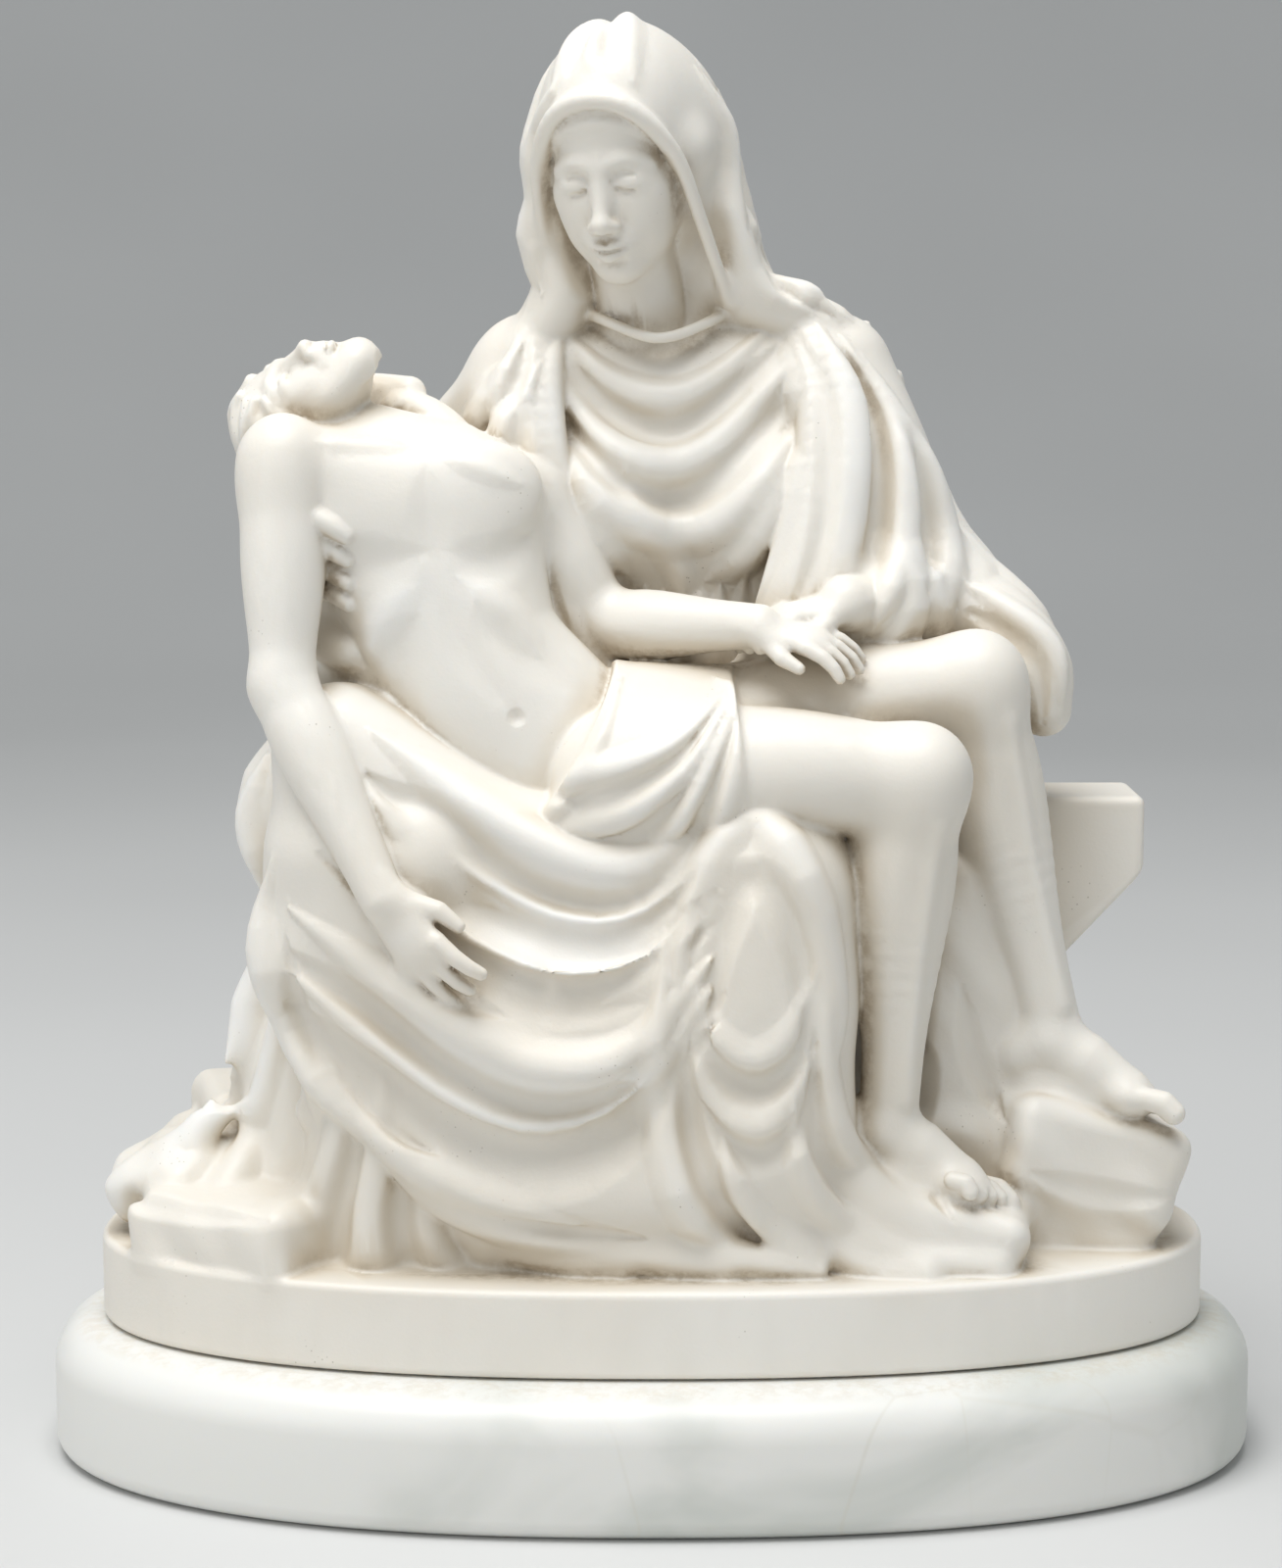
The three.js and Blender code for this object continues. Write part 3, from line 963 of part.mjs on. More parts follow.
// Marching cubes over the clay, with one vertex for each grid edge that the surface crosses
function surface(clay, step) {
  const across = LENGTH_SHARE / UNIT_SHARE + GRID_MARGIN;
  const deep = DEPTH_SHARE / UNIT_SHARE + GRID_MARGIN;
  const low = [-across, -deep, -SUNK];
  const high = [across, deep, 1 / UNIT_SHARE + GRID_MARGIN];
  const [nx, ny, nz] = low.map((v, i) => Math.ceil((high[i] - v) / step) + 1);
  const values = new Float32Array(nx * ny * nz);
  const index = (i, j, k) => i + nx * (j + ny * k);
  for (let k = 0; k < nz; k++) {
    for (let j = 0; j < ny; j++) {
      for (let i = 0; i < nx; i++) {
        const inside = i > 0 && j > 0 && k > 0 && i < nx - 1 && j < ny - 1 && k < nz - 1;
        values[index(i, j, k)] = inside
          ? clay.distance(low[0] + i * step, low[1] + j * step, low[2] + k * step) : REACH;
      }
    }
  }
  // Corners and edges of a cell, in the order of the case tables
  const corners = [[0, 0, 0], [1, 0, 0], [1, 1, 0], [0, 1, 0], [0, 0, 1], [1, 0, 1], [1, 1, 1], [0, 1, 1]];
  const ends = [[0, 1], [1, 2], [3, 2], [0, 3], [4, 5], [5, 6], [7, 6], [4, 7], [0, 4], [1, 5], [2, 6],
    [3, 7]];
  const NEAREST = 0.08; // a crossing keeps this share of the edge clear of its ends
  const known = new Map();
  const points = [];
  const triangles = [];
  const crossing = (i, j, k, edge) => {
    const [a, b] = ends[edge].map((c) => corners[c].map((v, n) => v + [i, j, k][n]));
    const axis = a.findIndex((v, n) => v !== b[n]);
    const key = 3 * index(...a) + axis;
    if (!known.has(key)) {
      const va = values[index(...a)];
      const vb = values[index(...b)];
      const t = clamp(va / (va - vb), NEAREST, 1 - NEAREST);
      known.set(key, points.length);
      points.push(a.map((v, n) => low[n] + (v + (b[n] - v) * t) * step));
    }
    return known.get(key);
  };
  for (let k = 0; k < nz - 1; k++) {
    for (let j = 0; j < ny - 1; j++) {
      for (let i = 0; i < nx - 1; i++) {
        let kind = 0;
        corners.forEach(([a, b, c], n) => {
          if (values[index(i + a, j + b, k + c)] < 0) kind |= 1 << n;
        });
        if (!edgeTable[kind]) continue;
        for (let n = kind * 16; triTable[n] !== -1; n += 3) {
          triangles.push([triTable[n + 2], triTable[n + 1], triTable[n]].map((e) => crossing(i, j, k, e)));
        }
      }
    }
  }
  return { points, triangles };
}

// Collapses the edges whose loss bends the surface least, until few enough triangles are left
function thinned({ points, triangles }, wanted) {
  const quadrics = points.map(() => new Float64Array(10));
  const around = points.map(() => new Set());
  const plane = (t) => {
    const [a, b, c] = t.map((v) => points[v]);
    return cross(sub(b, a), sub(c, a));
  };
  triangles.forEach((t, n) => {
    const across = plane(t);
    const area = Math.hypot(...across);
    const m = times(across, 1 / Math.max(area, LEAST_SQUARE));
    const q = [...m, -dot(m, points[t[0]])];
    for (const v of t) {
      around[v].add(n);
      let at = 0;
      for (let i = 0; i < 4; i++) for (let j = i; j < 4; j++) quadrics[v][at++] += area * q[i] * q[j];
    }
  });
  const bend = (q, [x, y, z]) =>
    q[0] * x * x + 2 * q[1] * x * y + 2 * q[2] * x * z + 2 * q[3] * x + q[4] * y * y
    + 2 * q[5] * y * z + 2 * q[6] * y + q[7] * z * z + 2 * q[8] * z + q[9];
  const neighbours = (v) => {
    const found = new Set();
    for (const n of around[v]) for (const w of triangles[n]) if (w !== v) found.add(w);
    return found;
  };
  const LENGTH_WEIGHT = 0.002; // keeps flat parts in even triangles
  const costOf = (a, b) => {
    const q = quadrics[a].map((v, i) => v + quadrics[b][i]);
    const spots = [points[a], points[b], mix(points[a], points[b], 0.5)];
    const size = Math.hypot(...sub(points[a], points[b]));
    let best = null;
    for (const p of spots) {
      const cost = bend(q, p) + LENGTH_WEIGHT * size ** 4;
      if (!best || cost < best.cost) best = { cost, p, a, b, q };
    }
    return best;
  };
  // A heap of the possible collapses, cheapest first; those that have gone stale are skipped
  const heap = [];
  const age = new Uint32Array(points.length);
  const push = (item) => {
    item.stamp = age[item.a] + age[item.b];
    let i = heap.push(item) - 1;
    while (i > 0) {
      const up = (i - 1) >> 1;
      if (heap[up].cost <= heap[i].cost) break;
      [heap[up], heap[i]] = [heap[i], heap[up]];
      i = up;
    }
  };
  const pop = () => {
    const top = heap[0];
    const last = heap.pop();
    if (heap.length) {
      heap[0] = last;
      for (let i = 0; ;) {
        const left = 2 * i + 1;
        if (left >= heap.length) break;
        const least = left + 1 < heap.length && heap[left + 1].cost < heap[left].cost ? left + 1 : left;
        if (heap[i].cost <= heap[least].cost) break;
        [heap[i], heap[least]] = [heap[least], heap[i]];
        i = least;
      }
    }
    return top;
  };
  points.forEach((p, a) => {
    for (const b of neighbours(a)) if (a < b) push(costOf(a, b));
  });
  const LEAST_TURN = 0.3; // cosine of the most that a triangle may turn in one collapse
  const LEAST_AREA = 1e-3; // twice the area of the smallest triangle that may be left
  const turnsOver = (v, other, p) => {
    for (const n of around[v]) {
      const t = triangles[n];
      if (t.includes(other)) continue;
      const before = normal(plane(t));
      const moved = t.map((w) => (w === v ? p : points[w]));
      const after = cross(sub(moved[1], moved[0]), sub(moved[2], moved[0]));
      const area = Math.hypot(...after);
      if (area < LEAST_AREA || dot(before, after) < LEAST_TURN * area) return true;
    }
    return false;
  };
  let left = triangles.length;
  while (left > wanted && heap.length) {
    const { a, b, p, q, stamp } = pop();
    if (age[a] === Infinity || !around[a].size || !around[b].size || stamp !== age[a] + age[b]) continue;
    const near = neighbours(b);
    const shared = [...neighbours(a)].filter((v) => near.has(v));
    if (shared.length !== 2 || turnsOver(a, b, p) || turnsOver(b, a, p)) continue;
    for (const n of around[b]) {
      const t = triangles[n];
      if (t.includes(a)) {
        for (const v of t) if (v !== b) around[v].delete(n);
        triangles[n] = null;
        left--;
      } else {
        triangles[n] = t.map((v) => (v === b ? a : v));
        around[a].add(n);
      }
    }
    around[b].clear();
    points[a] = p;
    quadrics[a] = q;
    age[a]++;
    for (const v of neighbours(a)) push(costOf(a, v));
  }
  return { points, triangles: triangles.filter(Boolean) };
}

// An oval slab built of rings, each inset from the outline at its own height
function ovalSlab(halfLength, halfDepth, low, high, footRadius, topRadius) {
  const rings = [];
  for (let i = 0; i <= ROUND_STEPS; i++) {
    const a = (i / ROUND_STEPS) * (Math.PI / 2);
    rings.push([footRadius * (1 - Math.sin(a)), low + footRadius * (1 - Math.cos(a))]);
  }
  for (let i = 0; i <= ROUND_STEPS; i++) {
    const a = (i / ROUND_STEPS) * (Math.PI / 2);
    rings.push([topRadius * (1 - Math.cos(a)), high - topRadius * (1 - Math.sin(a))]);
  }
  const power = (v) => Math.sign(v) * Math.abs(v) ** (2 / OVAL_POWER);
  const positions = [];
  const faces = [];
  for (const [inset, z] of rings) {
    for (let i = 0; i < OVAL_POINTS; i++) {
      const a = (i / OVAL_POINTS) * 2 * Math.PI;
      positions.push((halfLength - inset) * power(Math.cos(a)), (halfDepth - inset) * power(Math.sin(a)), z);
    }
  }
  const top = rings.length * OVAL_POINTS;
  positions.push(0, 0, low, 0, 0, high);
  for (let i = 0; i < OVAL_POINTS; i++) {
    const next = (i + 1) % OVAL_POINTS;
    faces.push(top, next, i);
    for (let r = 0; r < rings.length - 1; r++) {
      const a = r * OVAL_POINTS + i;
      const b = r * OVAL_POINTS + next;
      faces.push(a, b, b + OVAL_POINTS, a, b + OVAL_POINTS, a + OVAL_POINTS);
    }
    faces.push(top + 1, top - OVAL_POINTS + i, top - OVAL_POINTS + next);
  }
  const geometry = new THREE.BufferGeometry();
  geometry.setAttribute('position', new THREE.Float32BufferAttribute(positions, 3));
  geometry.setIndex(faces);
  return geometry;
}

const wasm = await Module();
wasm.setup();

function solidOf(geometry) {
  const bare = geometry.clone();
  bare.deleteAttribute('normal');
  bare.deleteAttribute('uv');
  const merged = mergeVertices(bare);
  return new wasm.Manifold(new wasm.Mesh({
    numProp: 3,
    vertProperties: merged.attributes.position.array,
    triVerts: new Uint32Array(merged.index.array),
  }));
}

function geometryOf(solid) {
  const mesh = solid.getMesh();
  const geometry = new THREE.BufferGeometry();
  geometry.setAttribute('position', new THREE.Float32BufferAttribute(mesh.vertProperties, 3));
  geometry.setIndex(new THREE.Uint32BufferAttribute(mesh.triVerts, 1));
  geometry.computeVertexNormals();
  return geometry;
}

// The casting: the carved group joined to its oval base
function statueGeometry() {
  const { points, triangles } = thinned(surface(carving(), CARVING_STEP / unit), CARVING_FACETS);
  const positions = points.flatMap(([x, y, z]) => [x * unit, y * unit, z * unit + groundLevel]);
  const carved = new THREE.BufferGeometry();
  carved.setAttribute('position', new THREE.Float32BufferAttribute(positions, 3));
  carved.setIndex(triangles.flat());
  const base = ovalSlab(baseHalfLength, baseHalfDepth, baseUnderside, groundLevel,
    BASE_FOOT_RADIUS, BASE_EDGE_RADIUS);
  const joined = solidOf(carved).add(solidOf(base));
  const largest = joined.decompose().sort((a, b) => b.volume() - a.volume())[0];
  return geometryOf(largest);
}

const castStone = new THREE.MeshStandardMaterial({ color: 0xeee9dc, roughness: 0.55, metalness: 0 });
const alabaster = new THREE.MeshStandardMaterial({ color: 0xe6e5dc, roughness: 0.45, metalness: 0 });

const group = new THREE.Group();

const plinth = new THREE.Mesh(
  ovalSlab(plinthHalfLength, plinthHalfDepth, 0, PLINTH_HEIGHT, PLINTH_FOOT_RADIUS, PLINTH_TOP_RADIUS),
  alabaster,
);
plinth.name = 'plinth';
group.add(plinth);

const statue = new THREE.Mesh(statueGeometry(), castStone);
statue.name = 'pieta_group';
group.add(statue);

export default group;
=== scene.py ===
"""A pieta statuette: a seated mother in gown, mantle and veil holds her dead son across her lap.
The group and its oval base are one casting, which rests on a separate oval stone plinth.
The carving is modelled as clay in drawn units, +Z up, +X to the viewer's right, the front faces -Y."""
import math
from concurrent.futures import ThreadPoolExecutor

import bpy
import numpy as np
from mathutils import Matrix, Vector


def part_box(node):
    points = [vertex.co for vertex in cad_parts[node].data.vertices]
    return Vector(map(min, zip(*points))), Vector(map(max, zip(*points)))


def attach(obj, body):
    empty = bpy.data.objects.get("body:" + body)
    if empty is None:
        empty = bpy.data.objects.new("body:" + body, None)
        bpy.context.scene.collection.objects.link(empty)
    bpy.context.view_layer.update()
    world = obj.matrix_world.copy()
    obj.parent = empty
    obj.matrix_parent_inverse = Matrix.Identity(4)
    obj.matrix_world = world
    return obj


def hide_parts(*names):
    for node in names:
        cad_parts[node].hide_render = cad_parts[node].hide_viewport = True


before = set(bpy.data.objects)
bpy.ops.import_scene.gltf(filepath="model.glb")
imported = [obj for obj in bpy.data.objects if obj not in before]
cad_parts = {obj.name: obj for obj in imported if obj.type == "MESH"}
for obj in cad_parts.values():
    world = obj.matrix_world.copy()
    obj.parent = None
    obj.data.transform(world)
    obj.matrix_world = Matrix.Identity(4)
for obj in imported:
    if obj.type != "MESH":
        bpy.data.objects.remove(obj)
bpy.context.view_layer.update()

# Sizes taken from the frame, in metres, and the height of the drawn figure in its own units
group_low, group_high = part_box("pieta_group")
_, plinth_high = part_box("plinth")
BASE_SHARE = 0.014 / 0.2108  # the oval base's share of the casting's height
OVAL_POWER = 2.3  # both ovals are superellipses, a little fuller than an ellipse
FIGURE_UNITS = 198.8
base_underside = group_low[2]
ground_level = base_underside + BASE_SHARE * (group_high[2] - group_low[2])
unit = (group_high[2] - ground_level) / FIGURE_UNITS

# Clay: shapes are signed distances, joined and cut one after another with soft seams
REACH = 6.0  # units past its box at which a shape is no longer felt
WORKERS = 4


def unit_vector(v):
    v = np.asarray(v, float)
    return v / np.linalg.norm(v)


def mix(a, b, t):
    return np.asarray(a, float) * (1 - t) + np.asarray(b, float) * t


def soft_min(a, b, k):
    h = np.maximum(k - np.abs(a - b), 0) / k
    return np.minimum(a, b) - h * h * k / 4


class Shape:
    """A box, and a distance function of an array of points"""

    def __init__(self, low, high, distance):
        self.low = np.asarray(low, float)
        self.high = np.asarray(high, float)
        self.distance = distance


class Clay:
    """A lump of clay: its steps are shapes joined, cut away, or raised as ridges on its surface"""

    def __init__(self):
        self.steps = []
        self.low = np.full(3, np.inf)
        self.high = np.full(3, -np.inf)
        self.boxes = None

    def add(self, kind, shape, amount, reach):
        self.steps.append((kind, shape, amount, shape.low - reach, shape.high + reach))
        self.boxes = None
        return self

    def join(self, shape, blend=2.0):
        self.low = np.minimum(self.low, shape.low)
        self.high = np.maximum(self.high, shape.high)
        return self.add("join", shape, blend, max(REACH, blend))

    def cut(self, shape, blend=2.0):
        return self.add("cut", shape, blend, max(REACH, blend))

    def swell(self, ridge_line, steepness):
        return self.add("swell", ridge_line, steepness, 0)

    def distance(self, p):
        if self.boxes is None:
            self.boxes = np.array([s[3] for s in self.steps]), np.array([s[4] for s in self.steps])
        lows, highs = self.boxes
        d = np.full(len(p), REACH)
        near = (lows < p.max(axis=0)).all(axis=1) & (highs > p.min(axis=0)).all(axis=1)
        for n in np.flatnonzero(near):
            kind, shape, amount, low, high = self.steps[n]
            felt = np.flatnonzero(((p > low) & (p < high)).all(axis=1))
            if not len(felt):
                continue
            e = shape.distance(p[felt])
            old = d[felt]
            if kind == "join":
                d[felt] = soft_min(old, e, amount)
            elif kind == "cut":
                d[felt] = -soft_min(-old, e, amount)
            else:
                d[felt] = old - amount * e
        return d


def egg(centre, radii, axes=None):
    """An ellipsoid with its own axes"""
    centre = np.asarray(centre, float)
    radii = np.asarray(radii, float)
    turn = None if axes is None else np.asarray(axes, float).T

    def distance(p):
        q = p - centre
        if turn is not None:
            q = q @ turn
        k0 = np.linalg.norm(q / radii, axis=1)
        k1 = np.linalg.norm(q / (radii * radii), axis=1)
        return k0 * (k0 - 1) / np.maximum(k1, 1e-9)

    span = radii if axes is None else np.full(3, radii.max())
    return Shape(centre - span, centre + span, distance)


def block(centre, half, rounding, axes=None):
    """A block with rounded edges"""
    centre = np.asarray(centre, float)
    half = np.asarray(half, float)
    turn = None if axes is None else np.asarray(axes, float).T

    def distance(p):
        q = p - centre
        if turn is not None:
            q = q @ turn
        q = np.abs(q) - half + rounding
        return np.linalg.norm(np.maximum(q, 0), axis=1) + np.minimum(q.max(axis=1), 0) - rounding

    span = half if axes is None else np.full(3, np.linalg.norm(half))
    return Shape(centre - span, centre + span, distance)


def spans_of(points, radii):
    """The spans of a line of points, whose radius runs smoothly through the radii from end to end"""
    points = np.asarray(points, float)
    given = np.array(radii if len(radii) > 1 else [radii[0]] * 2)
    radius = along(given[:, None], np.linspace(0, 1, len(points)))[:, 0]
    d = np.diff(points, axis=0)
    return points[:-1], d, np.maximum((d * d).sum(axis=1), 1e-9), radius[:-1], np.diff(radius)


def closest(p, spans):
    """For each point and span: the share along the span, the square of the gap, and the radius there"""
    a, d, dd, r, dr = spans
    w = p @ d.T - (a * d).sum(axis=1)
    t = np.clip(w / dd, 0, 1)
    square = (p * p).sum(axis=1)[:, None] - 2 * (p @ a.T) + (a * a).sum(axis=1) - 2 * t * w + t * t * dd
    return t, np.maximum(square, 0), r + dr * t


def roll(points, radii, face=None, flatness=1.0):
    """A tapering roll along a line of points. A squashed one is flattened across its face direction."""
    points = np.asarray(points, float)
    spans = spans_of(points, radii)
    squash = 0 if face is None else 1 / (flatness * flatness) - 1

    def distance(p):
        t, square, radius = closest(p, spans)
        if squash:
            a, d = spans[:2]
            across = (p @ face)[:, None] - a @ face - t * (d @ face)
            square = square + squash * across * across
        return (np.sqrt(square) - radius).min(axis=1)

    widest = max(radii)
    return Shape(points.min(axis=0) - widest, points.max(axis=0) + widest, distance)


def ridge(points, radii, soft=0.6):
    """A ridge along a line: its height over the surface, fading to nothing at its radius.
    A soft one of 1 has a round back and one of 0 a sharp crest."""
    points = np.asarray(points, float)
    spans = spans_of(points, radii)

    def height(p):
        _, square, radius = closest(p, spans)
        u = np.minimum(np.sqrt(square) / radius, 1)
        return (radius * (1 - u) ** 2 * (1 + 2 * soft * u)).max(axis=1)

    widest = max(radii)
    return Shape(points.min(axis=0) - widest, points.max(axis=0) + widest, height)


def along(points, shares):
    """The points at some shares of the way along a smooth curve through the points"""
    p = np.asarray(points, float)
    p = np.vstack([2 * p[0] - p[1], p, 2 * p[-1] - p[-2]])
    at = np.clip(np.atleast_1d(shares), 0, 1) * (len(p) - 3)
    i = np.minimum(at.astype(int), len(p) - 4)
    t = (at - i)[:, None]
    before, start, end, after = p[i], p[i + 1], p[i + 2], p[i + 3]
    slope_in = (end - before) / 2
    slope_out = (after - start) / 2
    return ((2 * start - 2 * end + slope_in + slope_out) * t ** 3
            + (3 * end - 3 * start - 2 * slope_in - slope_out) * t ** 2 + slope_in * t + start)


def through(points, steps=10):
    return along(points, np.linspace(0, 1, steps + 1))


CURL_STEPS = 32


def curl(points, radii, face=None, flatness=1.0):
    """A roll along a smooth curve through a few points"""
    return roll(through(points, CURL_STEPS), radii, face, flatness)


def rugged(clay, rise, length):
    """Clay with a hewn surface: uneven by about a rise, over about a length"""

    def distance(p):
        x, y, z = (p * (2 * math.pi / length)).T
        waves = np.sin(x + 1.3 * np.sin(0.7 * y)) * np.sin(1.1 * y + 0.8 * np.sin(0.9 * z))
        waves = waves * np.sin(1.2 * z + 0.5 * x) + 0.5 * np.sin(2.3 * x + 1.7 * z)
        return clay.distance(p) - rise * waves

    return Shape(clay.low, clay.high, distance)


APPROACH = 90.0  # units off the view's plane at which a point sets out towards the clay
TOUCHING = 0.2
SHORTEST_STEP = 0.4
STEP_SHARE = 0.8  # of the distance to the clay


def laid_on(clay, lines, towards):
    """Moves the points of some lines along a direction until they touch the clay. A point that would
    miss it stays with its nearest neighbour on the line that doesn't."""
    towards = np.asarray(towards, float)
    lines = np.asarray(lines, float)
    q = lines.reshape(-1, 3) - APPROACH * towards
    travelled = np.zeros(len(q))
    moving = np.arange(len(q))
    while len(moving):
        d = clay.distance(q[moving])
        moving, d = moving[d >= TOUCHING], d[d >= TOUCHING]
        step = np.maximum(SHORTEST_STEP, STEP_SHARE * d)
        q[moving] += step[:, None] * towards
        travelled[moving] += step
        moving = moving[travelled[moving] < 2 * APPROACH]
    q = q.reshape(lines.shape)
    found = travelled.reshape(lines.shape[:2]) < 2 * APPROACH
    for line, hits in zip(q, found):
        at = np.flatnonzero(hits)
        if len(at):
            nearest = np.abs(np.arange(len(line))[:, None] - at).argmin(axis=1)
            line[:] = line[at[nearest]]
    return q, found.any(axis=1)


# The ways in which a fold can be drawn: as [x, z] in the front or back view, as [y, z] in a side view
FRONT = (lambda a, b: [a, 0, b], [0, 1, 0])
BACK = (lambda a, b: [a, 0, b], [0, -1, 0])
LEFT = (lambda a, b: [0, a, b], [1, 0, 0])
RIGHT = (lambda a, b: [0, a, b], [-1, 0, 0])

THIN_ENDS = [0.12, 1, 1, 0.12]
OPEN_END = [0.12, 0.8, 1, 1.1]  # thin at the top, wide at the hem
FOLD_STEPS = 16


def folds(clay, view, table, soft=0.6, taper=THIN_ENDS):
    """Draws folds on the clay: each is [steepness, width, its line in the view]. The taper says how the
    width runs along it, and a fold may have its own as a fourth value."""
    place, towards = view
    lines = [through([place(*point) for point in row[2]], FOLD_STEPS) for row in table]
    for row, line, there in zip(table, *laid_on(clay, lines, towards)):
        own = row[3] if len(row) > 3 else taper
        if there:
            clay.swell(ridge(line, [share * row[1] for share in own], soft), row[0])


def pleats(clay, view, start, end, count, width, steepness=0.7, bow=(0, 0), taper=THIN_ENDS, seed=0):
    """A family of folds between two lines of the view. Sines make each one its own: its place along
    both lines, its bow, its width, and for every third fold an early end."""
    table = []
    for i in range(count):
        def wobble(speed):
            return math.sin(speed * i + seed)
        share = min(max((i + 0.22 * wobble(3.7)) / (count - 1), 0), 1)
        top = along(start, share)[0]
        foot = mix(top, along(end, share)[0], 0.7 if wobble(2.1) > 0.55 else 1)
        middle = mix(top, foot, 0.5) + np.asarray(bow, float) * (1 + 0.4 * wobble(2.4))
        table.append([steepness, width * (1 + 0.25 * wobble(1.9)), [top, middle, foot]])
    folds(clay, view, table, taper=taper)


def below(line, waves, rise):
    """All that lies under a line of the front view, with some waves along it that rise so far"""
    x, z = through(line, 96).T
    phase = np.linspace(0, waves * 2 * math.pi, len(x))
    z = z + rise * np.sin(phase) * (1 + 0.5 * np.sin(0.37 * phase))
    lean = 1 / np.sqrt(1 + np.gradient(z, x) ** 2)

    def distance(p):
        return (p[:, 2] - np.interp(p[:, 0], x, z)) * np.interp(p[:, 0], x, lean)

    return Shape([x[0], -60, -40], [x[-1], 60, z.max()], distance)


def swags(clay, view, left, right, sag, count, width, steepness, deepest, seed):
    """Hanging folds between two lines of the view, each with a furrow under it and deepest at some
    share of its way. The sag runs from the first fold to the last, and sines make each its own."""
    crests = []
    furrows = []
    skew = math.log(0.5) / math.log(deepest)
    for i in range(count):
        own = math.sin(2.1 * i + seed)
        share = min(max((i + 0.2 * own) / (count - 1), 0), 1)
        start, end = along(left, share)[0], along(right, share)[0]
        drop = sag[0] + (sag[1] - sag[0]) * share
        line = []
        for t in (0, 0.2, 0.4, 0.6, 0.8, 1):
            hang = 4 * t ** skew * (1 - t ** skew)
            line.append(mix(start, end, t) - [0, drop * hang * (1 + 0.15 * own * (t - 0.4))])
        size = width * (1 + 0.3 * own)
        crests.append([steepness, 0.8 * size, line])
        furrows.append([-0.5 * steepness, 1.1 * size, [point - [0, 0.9 * size] for point in line]])
    folds(clay, view, crests, 0.15)
    folds(clay, view, furrows, 1.0)


class Facing:
    """A body part's own axes: side is to the viewer's right when front faces the viewer. Its places and
    its balls' radii are in shares of its size."""

    def __init__(self, centre, up, front, size=1):
        self.size = size
        self.centre = np.asarray(centre, float)
        self.up = unit_vector(up)
        front = np.asarray(front, float)
        self.front = unit_vector(front - self.up * (front @ self.up))
        self.side = -np.cross(self.up, self.front)
        self.axes = np.array([self.side, self.up, self.front])

    def at(self, a, b, c):
        return self.centre + self.size * np.array([a, b, c]) @ self.axes

    def ball(self, a, b, c, *radii):
        return egg(self.at(a, b, c), [r * self.size for r in radii], self.axes)


def rings(clay, start, end, radii, count, width, steepness=0.8, lean=0.5):
    """Rings of cloth pushed together round a limb, between two points of it"""
    along_limb = np.asarray(end, float) - np.asarray(start, float)
    f = Facing(start, along_limb, [0, -1, 0.3])
    turns = np.linspace(0, 2 * math.pi, 13)
    for i in range(count):
        t = i / (count - 1)
        radius = radii[0] + (radii[1] - radii[0]) * t
        tilt = 0.5 * lean * radius
        points = [f.at(radius * math.cos(a), tilt * math.cos(a + 1.3 * i), radius * math.sin(a))
                  for a in turns]
        own_width = width * (1 + 0.3 * math.sin(2.3 * i))
        clay.swell(ridge(np.array(points) + along_limb * t, [own_width]), steepness)


def both_sides(*half):
    """The points of a line across a head: the given half of them, up to the middle, and their mirror image"""
    return [*half, *([-a, b, c] for a, b, c in half[-2::-1])]


